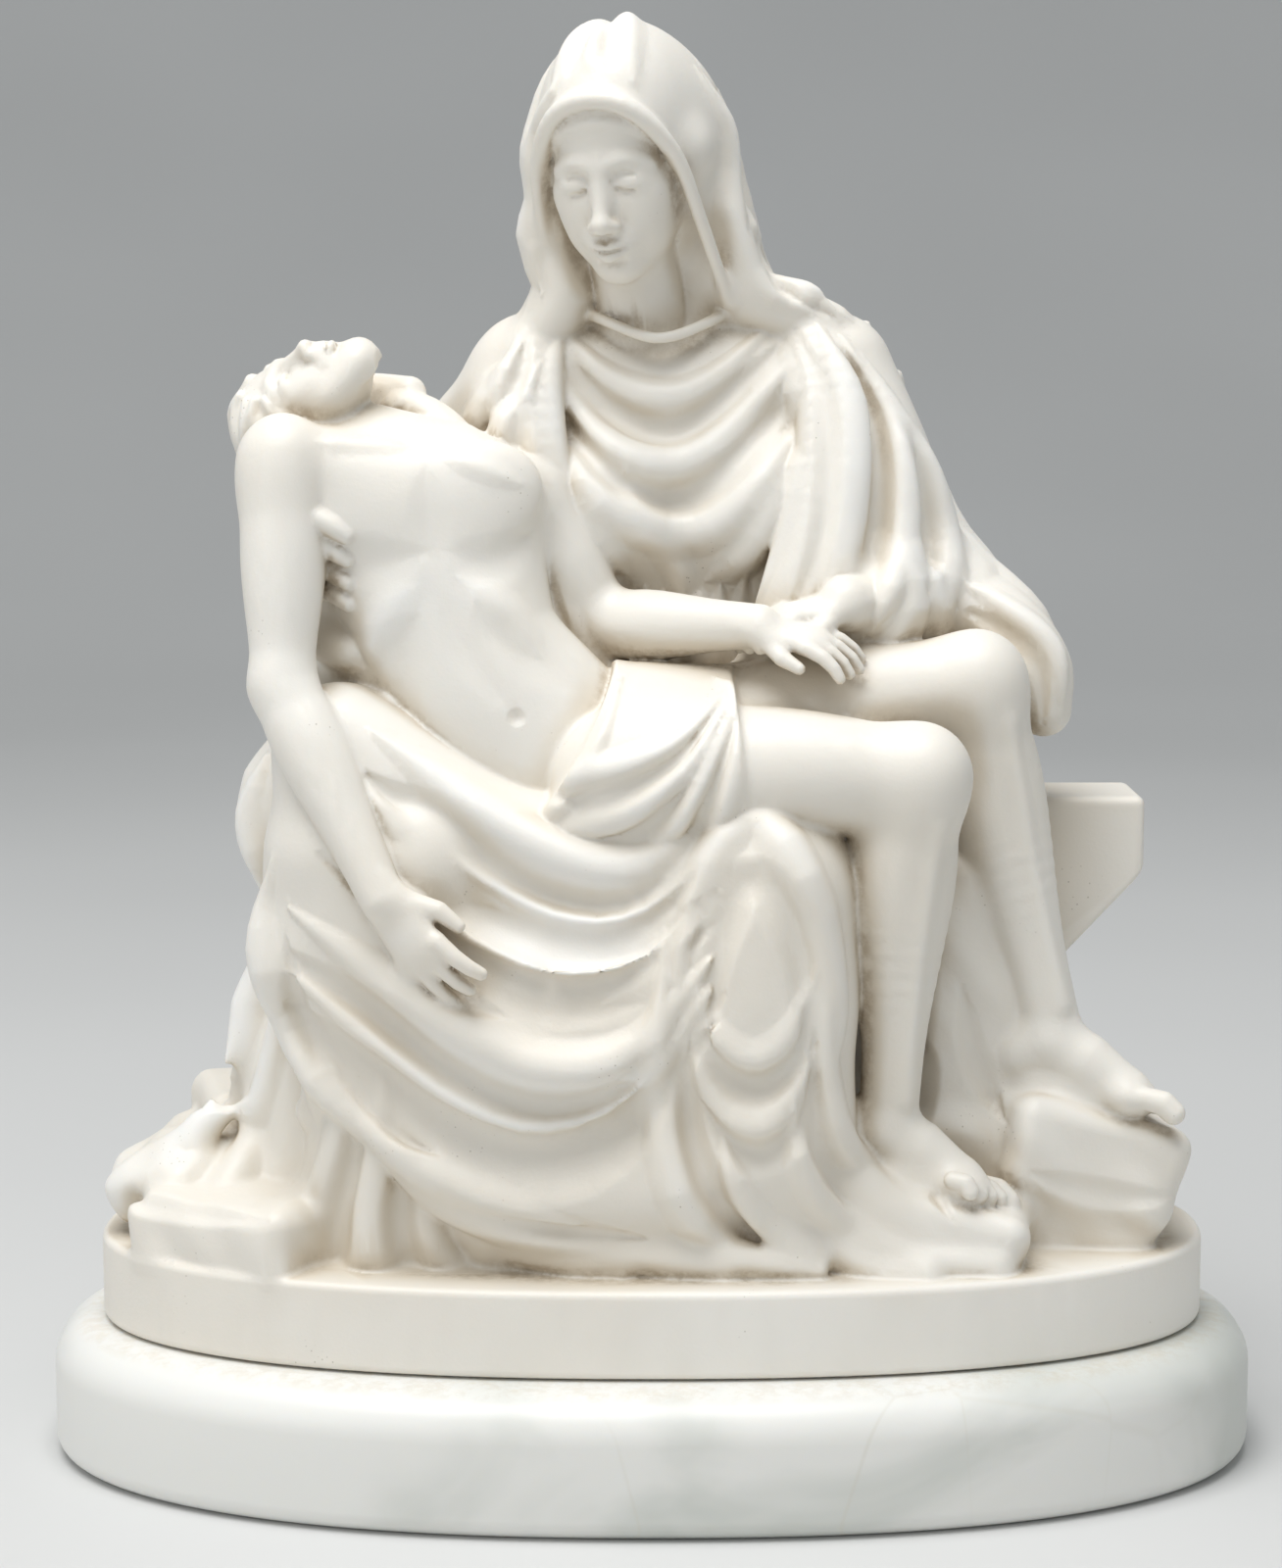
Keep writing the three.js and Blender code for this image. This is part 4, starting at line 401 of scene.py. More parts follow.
def head(centre, up, front, height):
    """The head, in shares of its height: crown at +0.5, chin at -0.5, eyes halfway"""
    f = Facing(centre, up, front, height)
    at, ball = f.at, f.ball

    def line(radius, *points):
        radius = radius * height
        return ridge(through([at(*p) for p in points], 8), [radius, 1.2 * radius, radius])

    def cord(radii, *points):
        return curl([at(*p) for p in points], [r * height for r in radii])

    clay = Clay()
    clay.join(ball(0, 0.13, -0.06, 0.335, 0.37, 0.42))
    clay.join(ball(0, -0.13, 0.13, 0.285, 0.33, 0.24), 0.12 * height)
    clay.join(cord([0.07, 0.075, 0.07], *both_sides([-0.21, -0.22, 0.02], [0, -0.41, 0.24])), 0.12 * height)
    clay.join(ball(0, -0.43, 0.27, 0.085, 0.065, 0.075), 0.1 * height)
    for s in (-1, 1):
        clay.join(ball(s * 0.17, -0.07, 0.2, 0.1, 0.09, 0.1), 0.1 * height)
        clay.join(ball(s * 0.12, -0.2, 0.22, 0.1, 0.12, 0.1), 0.1 * height)
        clay.cut(ball(s * 0.125, 0.015, 0.435, 0.1, 0.05, 0.085), 0.09 * height)
        clay.join(ball(s * 0.128, -0.004, 0.29, 0.092, 0.064, 0.07), 0.03 * height)
        for steepness, radius, *points in (
                # The brow, the crease over the lid, and the shut eye
                (0.4, 0.06, [0.04, 0.085, 0.36], [0.13, 0.115, 0.35], [0.24, 0.07, 0.26]),
                (-0.5, 0.02, [0.055, 0.015, 0.36], [0.125, 0.05, 0.355], [0.2, 0.012, 0.3]),
                (-0.6, 0.022, [0.06, -0.012, 0.345], [0.125, -0.042, 0.35], [0.2, -0.01, 0.295])):
            clay.swell(line(radius, *[[s * a, b, c] for a, b, c in points]), steepness)
    clay.join(cord([0.03, 0.034, 0.036, 0.042], [0, 0.09, 0.335], [0, 0.01, 0.362], [0, -0.08, 0.4],
                   [0, -0.165, 0.436]), 0.08 * height)
    clay.join(ball(0, -0.178, 0.448, 0.044, 0.036, 0.038), 0.04 * height)
    for s in (-1, 1):
        clay.join(ball(s * 0.052, -0.192, 0.405, 0.03, 0.03, 0.04), 0.03 * height)
    clay.join(ball(0, -0.29, 0.32, 0.115, 0.085, 0.08), 0.07 * height)
    # The lips, the line between them, and the dip under them
    upper_lip = both_sides([-0.09, -0.303, 0.36], [-0.042, -0.284, 0.402], [0, -0.291, 0.41])
    lower_lip = both_sides([-0.078, -0.316, 0.358], [0, -0.338, 0.4])
    clay.join(cord([0.008, 0.023, 0.02, 0.023, 0.008], *upper_lip), 0.02 * height)
    clay.join(cord([0.008, 0.032, 0.008], *lower_lip), 0.02 * height)
    mouth = both_sides([-0.092, -0.306, 0.37], [-0.03, -0.309, 0.412], [0, -0.315, 0.418])
    clay.swell(line(0.015, *mouth), -0.7)
    clay.swell(line(0.04, *both_sides([-0.05, -0.378, 0.36], [0, -0.384, 0.38])), -0.35)
    clay.swell(line(0.018, [0, -0.232, 0.42], [0, -0.272, 0.415]), -0.35)
    return clay, f


FINGER_SPREAD = 0.1


def hand(wrist, pointing, palm, size, bend, thumb):
    """A hand from the wrist: fingers run along, the palm faces palm, the thumb lies to thumb * side"""
    f = Facing(wrist, pointing, palm, size)
    at = f.at
    clay = Clay()
    clay.join(roll([at(0, -0.05, 0), at(0, 0.2, 0), at(0, 0.42, 0)],
                   [0.14 * size, 0.2 * size, 0.22 * size], f.front, 0.5))
    for i in range(4):
        across = (1.5 - i) * thumb
        reach = 1 - 0.1 * abs(across + 0.5 * thumb)
        joints = [[across * 0.125, 0.48, -0.01]]
        angle = bend * 0.6
        for length in (0.2, 0.15, 0.12):
            last = joints[-1]
            joints.append([last[0] + across * FINGER_SPREAD * length,
                           last[1] + math.cos(angle) * length * reach,
                           last[2] + math.sin(angle) * length * reach])
            angle += bend
        radii = [r * size for r in (0.066, 0.062, 0.056, 0.048)]
        clay.join(roll([at(*p) for p in joints], radii), 0.05 * size)
    clay.join(roll([at(0.1 * thumb, 0.08, 0.04), at(0.27 * thumb, 0.3, 0.1), at(0.31 * thumb, 0.47, 0.13)],
                   [0.085 * size, 0.07 * size, 0.052 * size]), 0.08 * size)
    return clay


def foot(ankle, pointing, sole, size, big):
    """A bare foot from the ankle: toes point along, the sole faces sole, the big toe lies to big * side"""
    f = Facing(ankle, pointing, sole, size)

    def at(a, b, c):
        return f.at(a * big, b, c)

    clay = Clay()
    clay.join(f.ball(0, -0.18, 0.15, 0.12, 0.13, 0.14))
    clay.join(roll([at(0, -0.06, 0.02), at(0.02, 0.2, 0.08), at(0.03, 0.44, 0.16)],
                   [0.16 * size, 0.165 * size, 0.13 * size]), 0.14 * size)
    clay.join(f.ball(0.01 * big, 0.5, 0.19, 0.2, 0.16, 0.105), 0.1 * size)
    for s in (-big, big):
        clay.join(f.ball(s * 0.11, -0.02, 0.03, 0.06, 0.06, 0.06), 0.06 * size)
    for i in range(5):
        across = 0.15 - 0.082 * i
        start = 0.56 - 0.03 * i
        radius = (0.07 if i == 0 else 0.052) * size
        clay.join(roll([at(across, start, 0.17), at(across, start + 0.12 - 0.012 * i, 0.165),
                        at(across, start + 0.19 - 0.02 * i, 0.2)], [radius * 0.9, radius, radius * 0.95]),
                  0.015 * size)
    return clay


def ground():
    """The rocky ground and the hewn stone seat"""
    rocks = Clay()
    rocks.join(egg([0, 0, -4], [84, 36, 9]))
    for centre, half, turn, lean in (
            # Each rock: its middle, half sizes, turn about the upright, and lean
            ([-66, -3, 2], [17, 17, 7], 0.12, 0.02),
            ([-68, -21, 3], [16, 9, 7], -0.55, 0.03),
            ([-71, 2, 10], [13, 12, 6], -0.1, 0.03),
            ([-63, 13, 14], [14, 12, 9], 0.3, 0.1),
            ([70, -3, 5], [14, 16, 8], -0.1, -0.05),
            ([71, -6, 15], [15, 15, 8], 0.1, -0.27),
            ([46, -24, 4.5], [14, 9, 7], -0.1, -0.25),
            ([76, 10, 4], [9, 10, 7], 0.5, 0.1),
            ([51, -3, 30], [10, 11, 34], 0.15, -0.08),
            ([44, -6, 10], [14, 12, 12], 0.3, -0.15)):
        c, s = math.cos(turn), math.sin(turn)
        axes = [unit_vector([c, s, lean]), [-s, c, 0], unit_vector([-lean * c, -lean * s, 1])]
        rocks.join(block(centre, half, 3.5, axes), 4)
    folds(rocks, FRONT, [
        # Clefts
        [-0.7, 3.5, [[38, 40], [44, 30], [42, 18], [48, 8]]],
        [-0.6, 3, [[50, 44], [53, 30], [58, 20]]],
        [-0.6, 3, [[60, 14], [72, 10], [86, 9]]],
        [-0.5, 2.5, [[-90, 9], [-78, 8.5], [-60, 9]]],
    ])
    clay = Clay()
    clay.join(rugged(rocks, 0.4, 24))
    clay.join(block([6, 16, 28], [56, 15, 30], 4), 4)
    # The slab of the seat is hewn back under its end
    clay.join(block([46, 14, 57.5], [36.5, 10, 14], 1.5), 1.5)
    clay.cut(block([82.3, 12, 44], [22, 24, 10], 0.5, [[0.68, 0, 0.73], [0, 1, 0], [-0.73, 0, 0.68]]), 1)
    return clay


class Mother:
    """Where the mother's joints are; her right is the viewer's left"""
    neck = [-1, 11, 147]
    head = [-5, 0, 175]
    right_shoulder = [-17.5, 14, 140.5]
    right_elbow = [-40, 24, 116]
    right_wrist = [-53.5, 6, 111]
    left_shoulder = [27.5, 15, 140]
    left_elbow = [46, 10, 104]
    left_wrist = [31, -12, 105]
    right_knee = [-38, -20, 64]
    left_knee = [17, -24, 56]


def gown():
    """The gown: a soft neckline over the chest, and gathers at the waist"""
    clay = Clay()
    clay.join(egg([4, 14, 62], [31, 17, 24]))
    clay.join(egg([4, 14, 92], [22, 15, 34]), 8)
    clay.join(egg([5, 12, 124], [26, 14, 25]), 8)
    clay.join(roll([Mother.right_shoulder, Mother.left_shoulder], [10, 11]), 8)
    clay.join(egg([-7, 2, 121], [10, 8, 10]), 6)
    clay.join(egg([16, 3, 121], [10, 8, 10]), 6)
    clay.join(curl([[-13, 10, 153], [-7, 2, 150], [1, -1.5, 147.5], [9, 2, 150], [15, 10, 154]], [0.9]), 2.6)
    folds(clay, FRONT, [
        [0.6, 3.6, [[-18, 152], [-7, 141], [2, 138], [10, 141], [22, 152]]],
        [0.75, 4.2, [[-21, 147], [-9, 132], [2, 127], [12, 132], [27, 148]]],
        [0.7, 4.6, [[-21, 138], [-8, 121], [5, 116], [15, 121], [29, 140]]],
        [-0.6, 3.6, [[-20, 150], [-8, 137], [2, 132.5], [11, 137], [25, 150]]],
        [-0.6, 4, [[-21, 143], [-8, 127], [3, 121.5], [13, 127], [28, 144]]],
        [0.6, 4.5, [[-14, 128], [-10, 116], [-4, 109]]],
        [0.6, 4.5, [[22, 128], [17, 114], [9, 108]]],
        [0.5, 3.5, [[-5, 128], [-2, 120], [4, 110], [5, 98]]],
    ])
    pleats(clay, FRONT, [[-12, 112], [5, 106], [20, 112]], [[-7, 86], [5, 84], [15, 87]], 8, 3.6, 0.75)
    return clay


def skirt():
    """The skirt over both knees and down to the ground"""
    clay = Clay()
    clay.join(roll([[-12, 14, 56], Mother.right_knee], [19, 13]))
    clay.join(roll([[18, 14, 54], Mother.left_knee], [19, 13]), 6)
    clay.join(roll([Mother.right_knee, [-42, -15, 4]], [13, 16]), 6)
    clay.join(roll([Mother.left_knee, [17, -16, 3]], [13, 16]), 6)
    clay.join(egg([-12, -10, 20], [34, 23, 42]), 8)
    folds(clay, FRONT, [
        # Folds that come out under the hem of the mantle and break on the ground
        [0.9, 4.5, [[-55, 44], [-55, 28], [-59, 14], [-66, 4]]],
        [0.9, 4.5, [[-50, 40], [-50, 24], [-53, 12], [-56, 2]]],
        [0.9, 5, [[-42, 40], [-43, 22], [-45, 10], [-45, 0]]],
        [0.8, 4, [[-35, 34], [-35, 20], [-36, 8], [-33, -1]]],
        [0.9, 5, [[-26, 32], [-27, 18], [-27, 8], [-24, -1]]],
        [-0.8, 4, [[-46, 38], [-47, 22], [-49.5, 10], [-51, 1]]],
        [-0.8, 4, [[-38, 34], [-39, 20], [-40.5, 9], [-39, 0]]],
    ], 0.4, OPEN_END)
    return clay


def mother_head():
    """Her neck and face, with the band of a coif under the veil"""
    clay, f = head(Mother.head, [-0.16, -0.28, 1], [-0.3, -1, -0.36], 33)
    clay.join(roll([Mother.neck, mix(Mother.neck, Mother.head, 0.6)], [8, 7.2]), 3)
    clay.join(egg(f.at(0, 0.26, 0), [10.9, 9.9, 11.9], f.axes), 0.5)
    band = both_sides([-0.27, 0.17, 0.22], [-0.16, 0.27, 0.31], [0, 0.3, 0.345])
    clay.swell(ridge(through([f.at(*p) for p in band]), [1.3]), 0.6)
    return clay, f


# The hood of the veil: its middle and half sizes, in shares of her head's height
HOOD_RISE, HOOD_BACK = 0.14, 0.13
HOOD_HALF_WIDTH, HOOD_HALF_HEIGHT, HOOD_HALF_DEPTH = 0.403, 0.55, 0.515


def veil(f):
    """The veil: a hood that stands off the face and spreads over the shoulders"""
    at = f.at
    clay = Clay()
    clay.join(egg(at(0, HOOD_RISE, -HOOD_BACK), [13.3, 18.2, 17], f.axes))
    nape = [at(0, 0.02, -0.3), [1, 16, 158], [4, 21, 140], [5, 26, 110]]
    clay.join(curl(nape, [14, 15, 20, 24], [0, 1, 0], 0.75), 10)
    left_side = [at(-0.34, 0.05, -0.02), [-15, 6, 166], [-14.5, 6, 154], [-22, 9, 143]]
    clay.join(curl(left_side, [3, 3.6, 4.2, 4]), 5)
    right_side = [at(0.34, 0.05, -0.02), [9.5, 6, 168], [14.5, 7, 156], [29, 10, 149]]
    clay.join(curl(right_side, [3, 3.8, 5, 4.5]), 5)
    clay.cut(egg(at(0, -0.18, 0.36), [11.7, 20, 16.5], f.axes), 1.2)
    clay.cut(egg([-0.5, -4, 152], [10.5, 12, 10]), 2)
    rim = [[-0.43, -0.72, -0.04], [-0.4, -0.25, 0.13],
           *both_sides([-0.35, 0.1, 0.22], [-0.2, 0.34, 0.31], [0, 0.415, 0.34]),
           [0.41, -0.25, 0.13], [0.5, -0.72, -0.08]]
    clay.join(curl([at(*p) for p in rim], [1, 1.1, 1.2, 1.4, 1.6, 1.4, 1.2, 1.1, 1]), 2)
    # Soft folds back over the crown, and others down to the shoulders
    for side, lean, steepness in (
            (-0.2, 0.3, 0.35), (-0.09, 0.2, -0.4), (0.02, -0.1, 0.35), (0.12, -0.2, -0.4),
            (0.21, -0.3, 0.35)):
        line = []
        for ahead in (0.2, 0.05, -0.13, -0.3, -0.47):
            across = side + lean * (0.2 - ahead)
            share = 1 - (across / HOOD_HALF_WIDTH) ** 2 - ((ahead + HOOD_BACK) / HOOD_HALF_DEPTH) ** 2
            line.append(at(across, HOOD_RISE + HOOD_HALF_HEIGHT * math.sqrt(share), ahead))
        clay.swell(ridge(through(line), [1.5, 3.4, 3.8, 3, 1.5]), steepness)
    folds(clay, FRONT, [
        [0.6, 3.6, [[-14, 190], [-19, 180], [-20, 168], [-18, 154]]],
        [0.6, 4, [[7, 191], [12, 181], [13, 168], [18, 156], [27, 151]]],
        [0.7, 4, [[5, 197], [14, 186], [17, 170], [23, 157], [33, 150]]],
        [-0.6, 3, [[6, 194], [13, 183], [15, 169], [21, 156], [30, 151]]],
    ], 0.4)
    pleats(clay, LEFT, [[2, 192], [24, 184]], [[6, 148], [28, 138]], 5, 4.5, bow=(2, 0), seed=3)
    pleats(clay, RIGHT, [[2, 190], [24, 184]], [[6, 150], [30, 138]], 5, 4.5, bow=(2, 0), seed=4)
    pleats(clay, BACK, [[-12, 190], [8, 190]], [[-26, 116], [34, 116]], 8, 5.5, 0.85, taper=OPEN_END, seed=5)
    hem = [[-50, 136], [-26, 126], [-10, 121], [4, 119], [18, 121], [36, 127], [60, 138]]
    clay.cut(below(hem, 7, 1.2), 1)
    return clay


def mantle():
    """The mantle: it wraps her arms and frames the chest, and falls down her back and both sides"""
    clay = Clay()
    m = Mother
    clay.join(egg([6, 25, 112], [33, 11, 40]))
    clay.join(roll([[5, 20, 108], [4, 20.5, 60], [2, 21, 2]], [30, 40, 44], [0, 1, 0], 0.31), 8)
    clay.join(curl([m.right_elbow, [-45, 17, 92], [-50, 12, 60]], [10, 9, 12]), 6)
    clay.join(roll([[-30, 22, 118], [-38, 20, 80], [-46, 18, 30]], [9, 10, 12]), 8)
    clay.join(roll([[36, 20, 116], [40, 20, 88], [42, 18, 70]], [9, 10, 10]), 8)
    for shoulder, elbow in ((m.right_shoulder, m.right_elbow), (m.left_shoulder, m.left_elbow)):
        clay.join(roll([shoulder, mix(shoulder, elbow, 0.5), elbow], [11.4, 11.2, 10]), 6)
    clay.join(roll([m.right_elbow, m.right_wrist], [10, 6.5]), 6)
    clay.join(roll([m.left_elbow, mix(m.left_elbow, m.left_wrist, 0.7)], [9.6, 7.5]), 6)
    # The broad fall on the viewer's left, behind the hanging arm, and the cloth that bears his back
    broad_fall = [[-42, 10, 108], [-48, 6, 74], [-51, 5, 34], [-55, 4, 4]]
    clay.join(roll(broad_fall, [14, 17, 20, 22], [1, 0, 0], 0.72), 6)
    clay.join(egg([-41, -3, 90], [16.5, 15, 32]), 6)
    clay.join(egg([-58, -6, 70], [8.5, 9, 13]), 5)
    clay.join(egg([-71, -3, 7], [17, 15, 8]), 6)
    # The fall on the viewer's right, from the elbow to the seat
    clay.join(roll([[46, 15, 100], [47, 16, 80], [47, 16, 68]], [11, 12, 13]), 6)
    clay.join(curl([[31, 12, 142], [37, 6, 122], [33, 2, 104]], [8, 9, 8]), 6)
    clay.join(curl([[47, 9, 106], [57, 3, 101], [63, -1, 94], [64.5, -2, 87]], [7.5, 6.6, 6, 4.6]), 4)
    clay.join(curl([[-22, 12, 142], [-24, 5, 122], [-16, 2, 100]], [7, 8, 7]), 6)
    # Its edges come forward over the shoulders and run down the chest to the waist
    clay.join(curl([[-18, 11, 153], [-20, 1, 138], [-18, -5, 118], [-11, -6, 98], [-3, -6, 84]],
                   [3, 4.4, 5, 4.4, 3], [0.3, -0.95, 0], 0.7), 3)
    clay.join(curl([[23, 10, 153], [28, 1, 138], [27, -5, 118], [21, -7, 102], [14, -6, 88]],
                   [3, 4.6, 5.4, 4.8, 3], [-0.3, -0.95, 0], 0.7), 3)
    folds(clay, FRONT, [
        [0.7, 4.5, [[-22, 148], [-25, 136], [-24, 116], [-17, 96]]],
        [0.8, 3.6, [[-15, 150], [-16, 138], [-13, 118], [-7, 98]]],
        [-0.7, 3, [[-20, 150], [-22, 137], [-20, 117], [-12, 97]]],
        [0.9, 5, [[27, 150], [33, 136], [32, 116], [25, 98]]],
        [0.8, 5, [[31, 148], [40, 132], [41, 114], [35, 100]]],
        [0.8, 4.5, [[34, 145], [45, 127], [49, 112], [46, 99]]],
        [-0.7, 4, [[29, 149], [36.5, 134], [36.5, 115], [30, 99]]],
        [-0.7, 4, [[32.5, 146], [42.5, 130], [45, 113], [41, 99.5]]],
        [-0.7, 3, [[23, 150], [28, 137], [27.5, 117], [21, 100]]],
        [0.8, 3, [[50, 108], [58, 104], [66, 97], [67, 86]]],
        [-0.7, 2.4, [[50, 104], [57, 100], [63, 94], [64, 84]]],
        [0.7, 3, [[50, 99], [56, 96], [60, 90], [60, 82]]],
        [0.8, 3.6, [[20, 150], [23, 138], [22, 120], [16, 102]]],
        # Across the viewer's left upper arm
        [0.7, 4.5, [[-21, 147], [-29, 134], [-35, 118]]],
        [0.7, 4, [[-18, 144], [-26, 128], [-31, 110]]],
        [-0.6, 3.5, [[-19.5, 146], [-27.5, 131], [-33, 114]]],
        # Bunched behind the hanging arm
        [0.8, 5, [[-60, 104], [-53, 98], [-45, 98]]],
        [0.9, 5, [[-62, 96], [-54, 88], [-45, 87], [-38, 92]]],
        [0.9, 5, [[-62, 86], [-55, 77], [-44, 75], [-32, 80]]],
        [-0.8, 4, [[-60, 100], [-51, 92.5], [-42, 92]]],
        [-0.8, 4, [[-61, 91], [-52, 82], [-40, 81]]],
        # An arch of cloth under his back
        [0.9, 4.5, [[-53, 82], [-47, 88], [-39, 84], [-33, 74]]],
        [-0.8, 4, [[-50, 78], [-45, 82], [-40, 78]]],
        # The bulge under the elbow and the cloth spread on the rock
        [0.9, 5, [[-62, 82], [-66, 70], [-62, 60], [-56, 56]]],
        [0.8, 4, [[-54, 80], [-58, 70], [-56, 62]]],
        [0.9, 6, [[-60, 60], [-66, 40], [-71, 22], [-80, 8]], OPEN_END],
        [0.8, 5, [[-62, 40], [-71, 22], [-80, 12], [-88, 7]], OPEN_END],
        [0.8, 5, [[-58, 44], [-65, 20], [-71, 8], [-80, 2]], OPEN_END],
        [-0.7, 4, [[-60, 52], [-67, 30], [-75, 15], [-84, 7]], OPEN_END],
    ], 0.4)
    folds(clay, LEFT, [
        [0.9, 6, [[26, 140], [24, 104], [26, 60], [29, 2]]],
        [0.8, 5, [[20, 118], [16, 92], [18, 50], [22, 2]]],
        [0.95, 7, [[13, 112], [9, 86], [10, 46], [14, 2]]],
        [0.7, 4.5, [[7, 104], [3, 80], [4, 46], [7, 2]]],
        [0.95, 6.5, [[2, 98], [-3, 74], [-3, 40], [0, 2]]],
        [0.8, 5, [[-4, 66], [-9, 46], [-9, 24], [-8, 4]]],
        [-0.85, 5, [[17, 112], [13, 86], [14, 46], [18, 2]]],
        [-0.85, 5, [[5, 96], [0, 76], [1, 42], [4, 2]]],
        [-0.8, 5, [[23, 130], [21, 96], [22, 56], [26, 2]]],
    ], 0.4, OPEN_END)
    folds(clay, RIGHT, [
        [0.8, 5, [[25, 140], [25, 116], [24, 94], [23, 75]]],
        [0.9, 6, [[19, 138], [19, 112], [18, 92], [18, 74]]],
        [0.8, 5, [[14, 132], [12, 110], [12, 92], [12, 74]]],
        [0.8, 5, [[8, 120], [5, 104], [6, 90], [6, 75]]],
        [-0.8, 4.5, [[16.5, 134], [15.5, 110], [15, 92], [15, 74]]],
        [-0.7, 4.5, [[22, 138], [22, 112], [21, 92], [20.5, 74]]],
    ], 0.4, OPEN_END)
    # Each fall of the back: its place across at the top, the waist and the foot
    falls = ((-34, -43, -58), (-28, -34, -48), (-22, -25, -38), (-14, -16, -27), (-7, -6, -15), (2, 3, -4),
             (10, 12, 9), (19, 21, 20), (28, 31, 32), (36, 40, 44), (40, 47, 52))
    back = []
    for i, (top, waist, hem) in enumerate(falls):
        width = 6.5 + 1.6 * math.sin(2.3 * i)
        knee = 0.5 * (waist + hem)
        back.append([0.9, width, [[top, 150], [waist, 104], [knee, 50], [hem, 1]]])
        back.append([-0.8, 0.75 * width, [[top + 4, 140], [waist + 4.5, 100], [knee + 5, 50], [hem + 6, 1]]])
    folds(clay, BACK, back, 0.4, OPEN_END)
    rings(clay, m.left_elbow, mix(m.left_elbow, m.left_wrist, 0.7), [11, 8], 6, 3.6)
    rings(clay, m.right_elbow, m.right_wrist, [10.5, 7], 5, 3.4)
    # The cloth over the arm that bears his neck
    clay.join(curl([[-44, 2, 136], [-38, -1, 135.5], [-33, -3, 132], [-29, -4, 127]], [2.4, 3.1, 3.4, 3]), 2)
    clay.join(curl([[-41, -4, 131], [-36, -6, 130], [-30, -7, 125]], [2.4, 2.8, 2.4]), 1.5)
    rings(clay, [-43, 1, 136], [-30, -4, 129], [3, 3.4], 7, 1.6, 0.9, 0.7)
    return clay


def lap_cloth():
    """The mantle over her lap: it sags between the knees and falls from them, over the gown"""
    clay = Clay()
    clay.join(curl([[-50, -18, 82], [-22, -20, 66], [2, -22, 66], [18, -24, 64]], [11, 12, 12, 11]))
    clay.join(curl([[-50, -21, 66], [-26, -25, 48], [0, -26, 50], [18, -26, 56]], [12, 12.5, 12, 11.5]), 8)
    clay.join(curl([[-52, -19, 50], [-28, -26, 32], [0, -27, 34], [18, -27, 42]], [12, 12, 11.5, 11.5]), 8)
    clay.join(curl([[-46, -18, 30], [-24, -26, 16], [0, -27, 14], [18, -26, 22]], [12, 11.5, 11.5, 12]), 8)
    clay.join(curl([[18, -27, 60], [20, -27, 40], [20, -25, 20], [24, -22, 6]], [12, 11, 11, 12]), 8)
    swags(clay, FRONT, [[-44, 88], [-53, 70], [-60, 50]], [[8, 74], [11, 62], [10, 48]], (12, 24), 5, 6.4,
          steepness=0.95, deepest=0.6, seed=1)
    folds(clay, FRONT, [
        # Short folds that die out in the swags
        [0.6, 3.4, [[-46, 80], [-36, 66], [-22, 58]]],
        [0.6, 3.2, [[8, 62], [2, 50], [-8, 44]]],
        [0.6, 3, [[10, 50], [4, 38], [-6, 32]]],
        [-0.5, 3, [[-44, 62], [-34, 48], [-22, 42]]],
        # Small sags down the shin
        [0.45, 4, [[3, 56], [9, 41], [15, 36], [21, 40], [27, 54]]],
        [-0.45, 4, [[7, 44], [11, 35], [16, 32], [21, 35], [24, 42]]],
        [0.45, 3.8, [[3, 42], [10, 29], [16, 25], [21, 29], [27, 40]]],
        [-0.45, 4, [[7, 30], [12, 23], [17, 21], [22, 24], [25, 29]]],
    ])
    folds(clay, FRONT, [
        # Long folds beside the slanting hem
        [0.9, 5.5, [[-60, 66], [-62, 50], [-54, 32], [-42, 18]]],
        [0.85, 5.5, [[-56, 40], [-44, 24], [-28, 13], [-8, 8]]],
        [0.7, 4, [[-46, 22], [-34, 11], [-18, 6], [0, 4]]],
        [-0.8, 4.5, [[-58, 54], [-55, 38], [-44, 26], [-30, 17]]],
        [-0.7, 4, [[-46, 30], [-34, 16], [-18, 9.5], [0, 6.5]]],
        # A loop of cloth over the near knee
        [0.9, 4.6, [[3, 40], [5, 56], [10, 69], [17, 73], [24, 64], [28, 50], [29, 40], [27, 31]]],
        [-0.6, 4.5, [[9, 38], [10.5, 54], [15, 64], [21, 58], [24, 46], [23, 34]]],
        # Falls from the near knee
        [0.9, 4.5, [[27, 52], [28, 30], [33, 17], [44, 9]], OPEN_END],
        [0.8, 4.2, [[22, 30], [23, 20], [28, 11], [38, 3]], OPEN_END],
        [-0.8, 4, [[25, 42], [26, 24], [31, 13.5], [41, 6]], OPEN_END],
        [0.9, 5.2, [[2, 56], [1, 34], [4, 16], [12, 4]], OPEN_END],
        [0.75, 4, [[11, 24], [13, 16], [17, 9], [26, 3]], OPEN_END],
        [-0.8, 4.2, [[6, 40], [5.5, 26], [9.5, 13], [18, 3]], OPEN_END],
    ], 0.4)
    hem = [[-90, 56], [-74, 54], [-66, 46], [-59, 33], [-53, 22], [-45, 11], [-34, 5], [-20, 3], [-6, 2],
           [10, 1], [26, 0], [44, -1], [64, -2]]
    clay.cut(below(hem, 12, 1.2), 1.2)
    # Folds that lie on the ground along the hem, and its end before his foot
    for line in ([[-36, -22, 9], [-25, -29, 5], [-14, -33, 2.5], [-5, -34.5, 1]],
                 [[-22, -26, 7], [-9, -32, 4.5], [3, -34.5, 2.5], [11, -35.5, 1]],
                 [[-4, -29, 6], [7, -33, 4], [17, -35, 2.5], [26, -35.5, 1]]):
        clay.join(curl(line, [3.2, 3.4, 2.8, 1.6]), 3)
    for end, height in (([50, -26, 7], 14), ([57, -28, 4], 10), ([54, -32, 1], 5), ([43, -34, 0], 2)):
        clay.join(curl([[22, -27, height + 10], mix([28, -31, height], end, 0.4), end], [5, 3.6, 3.2]), 1.6)
    return clay


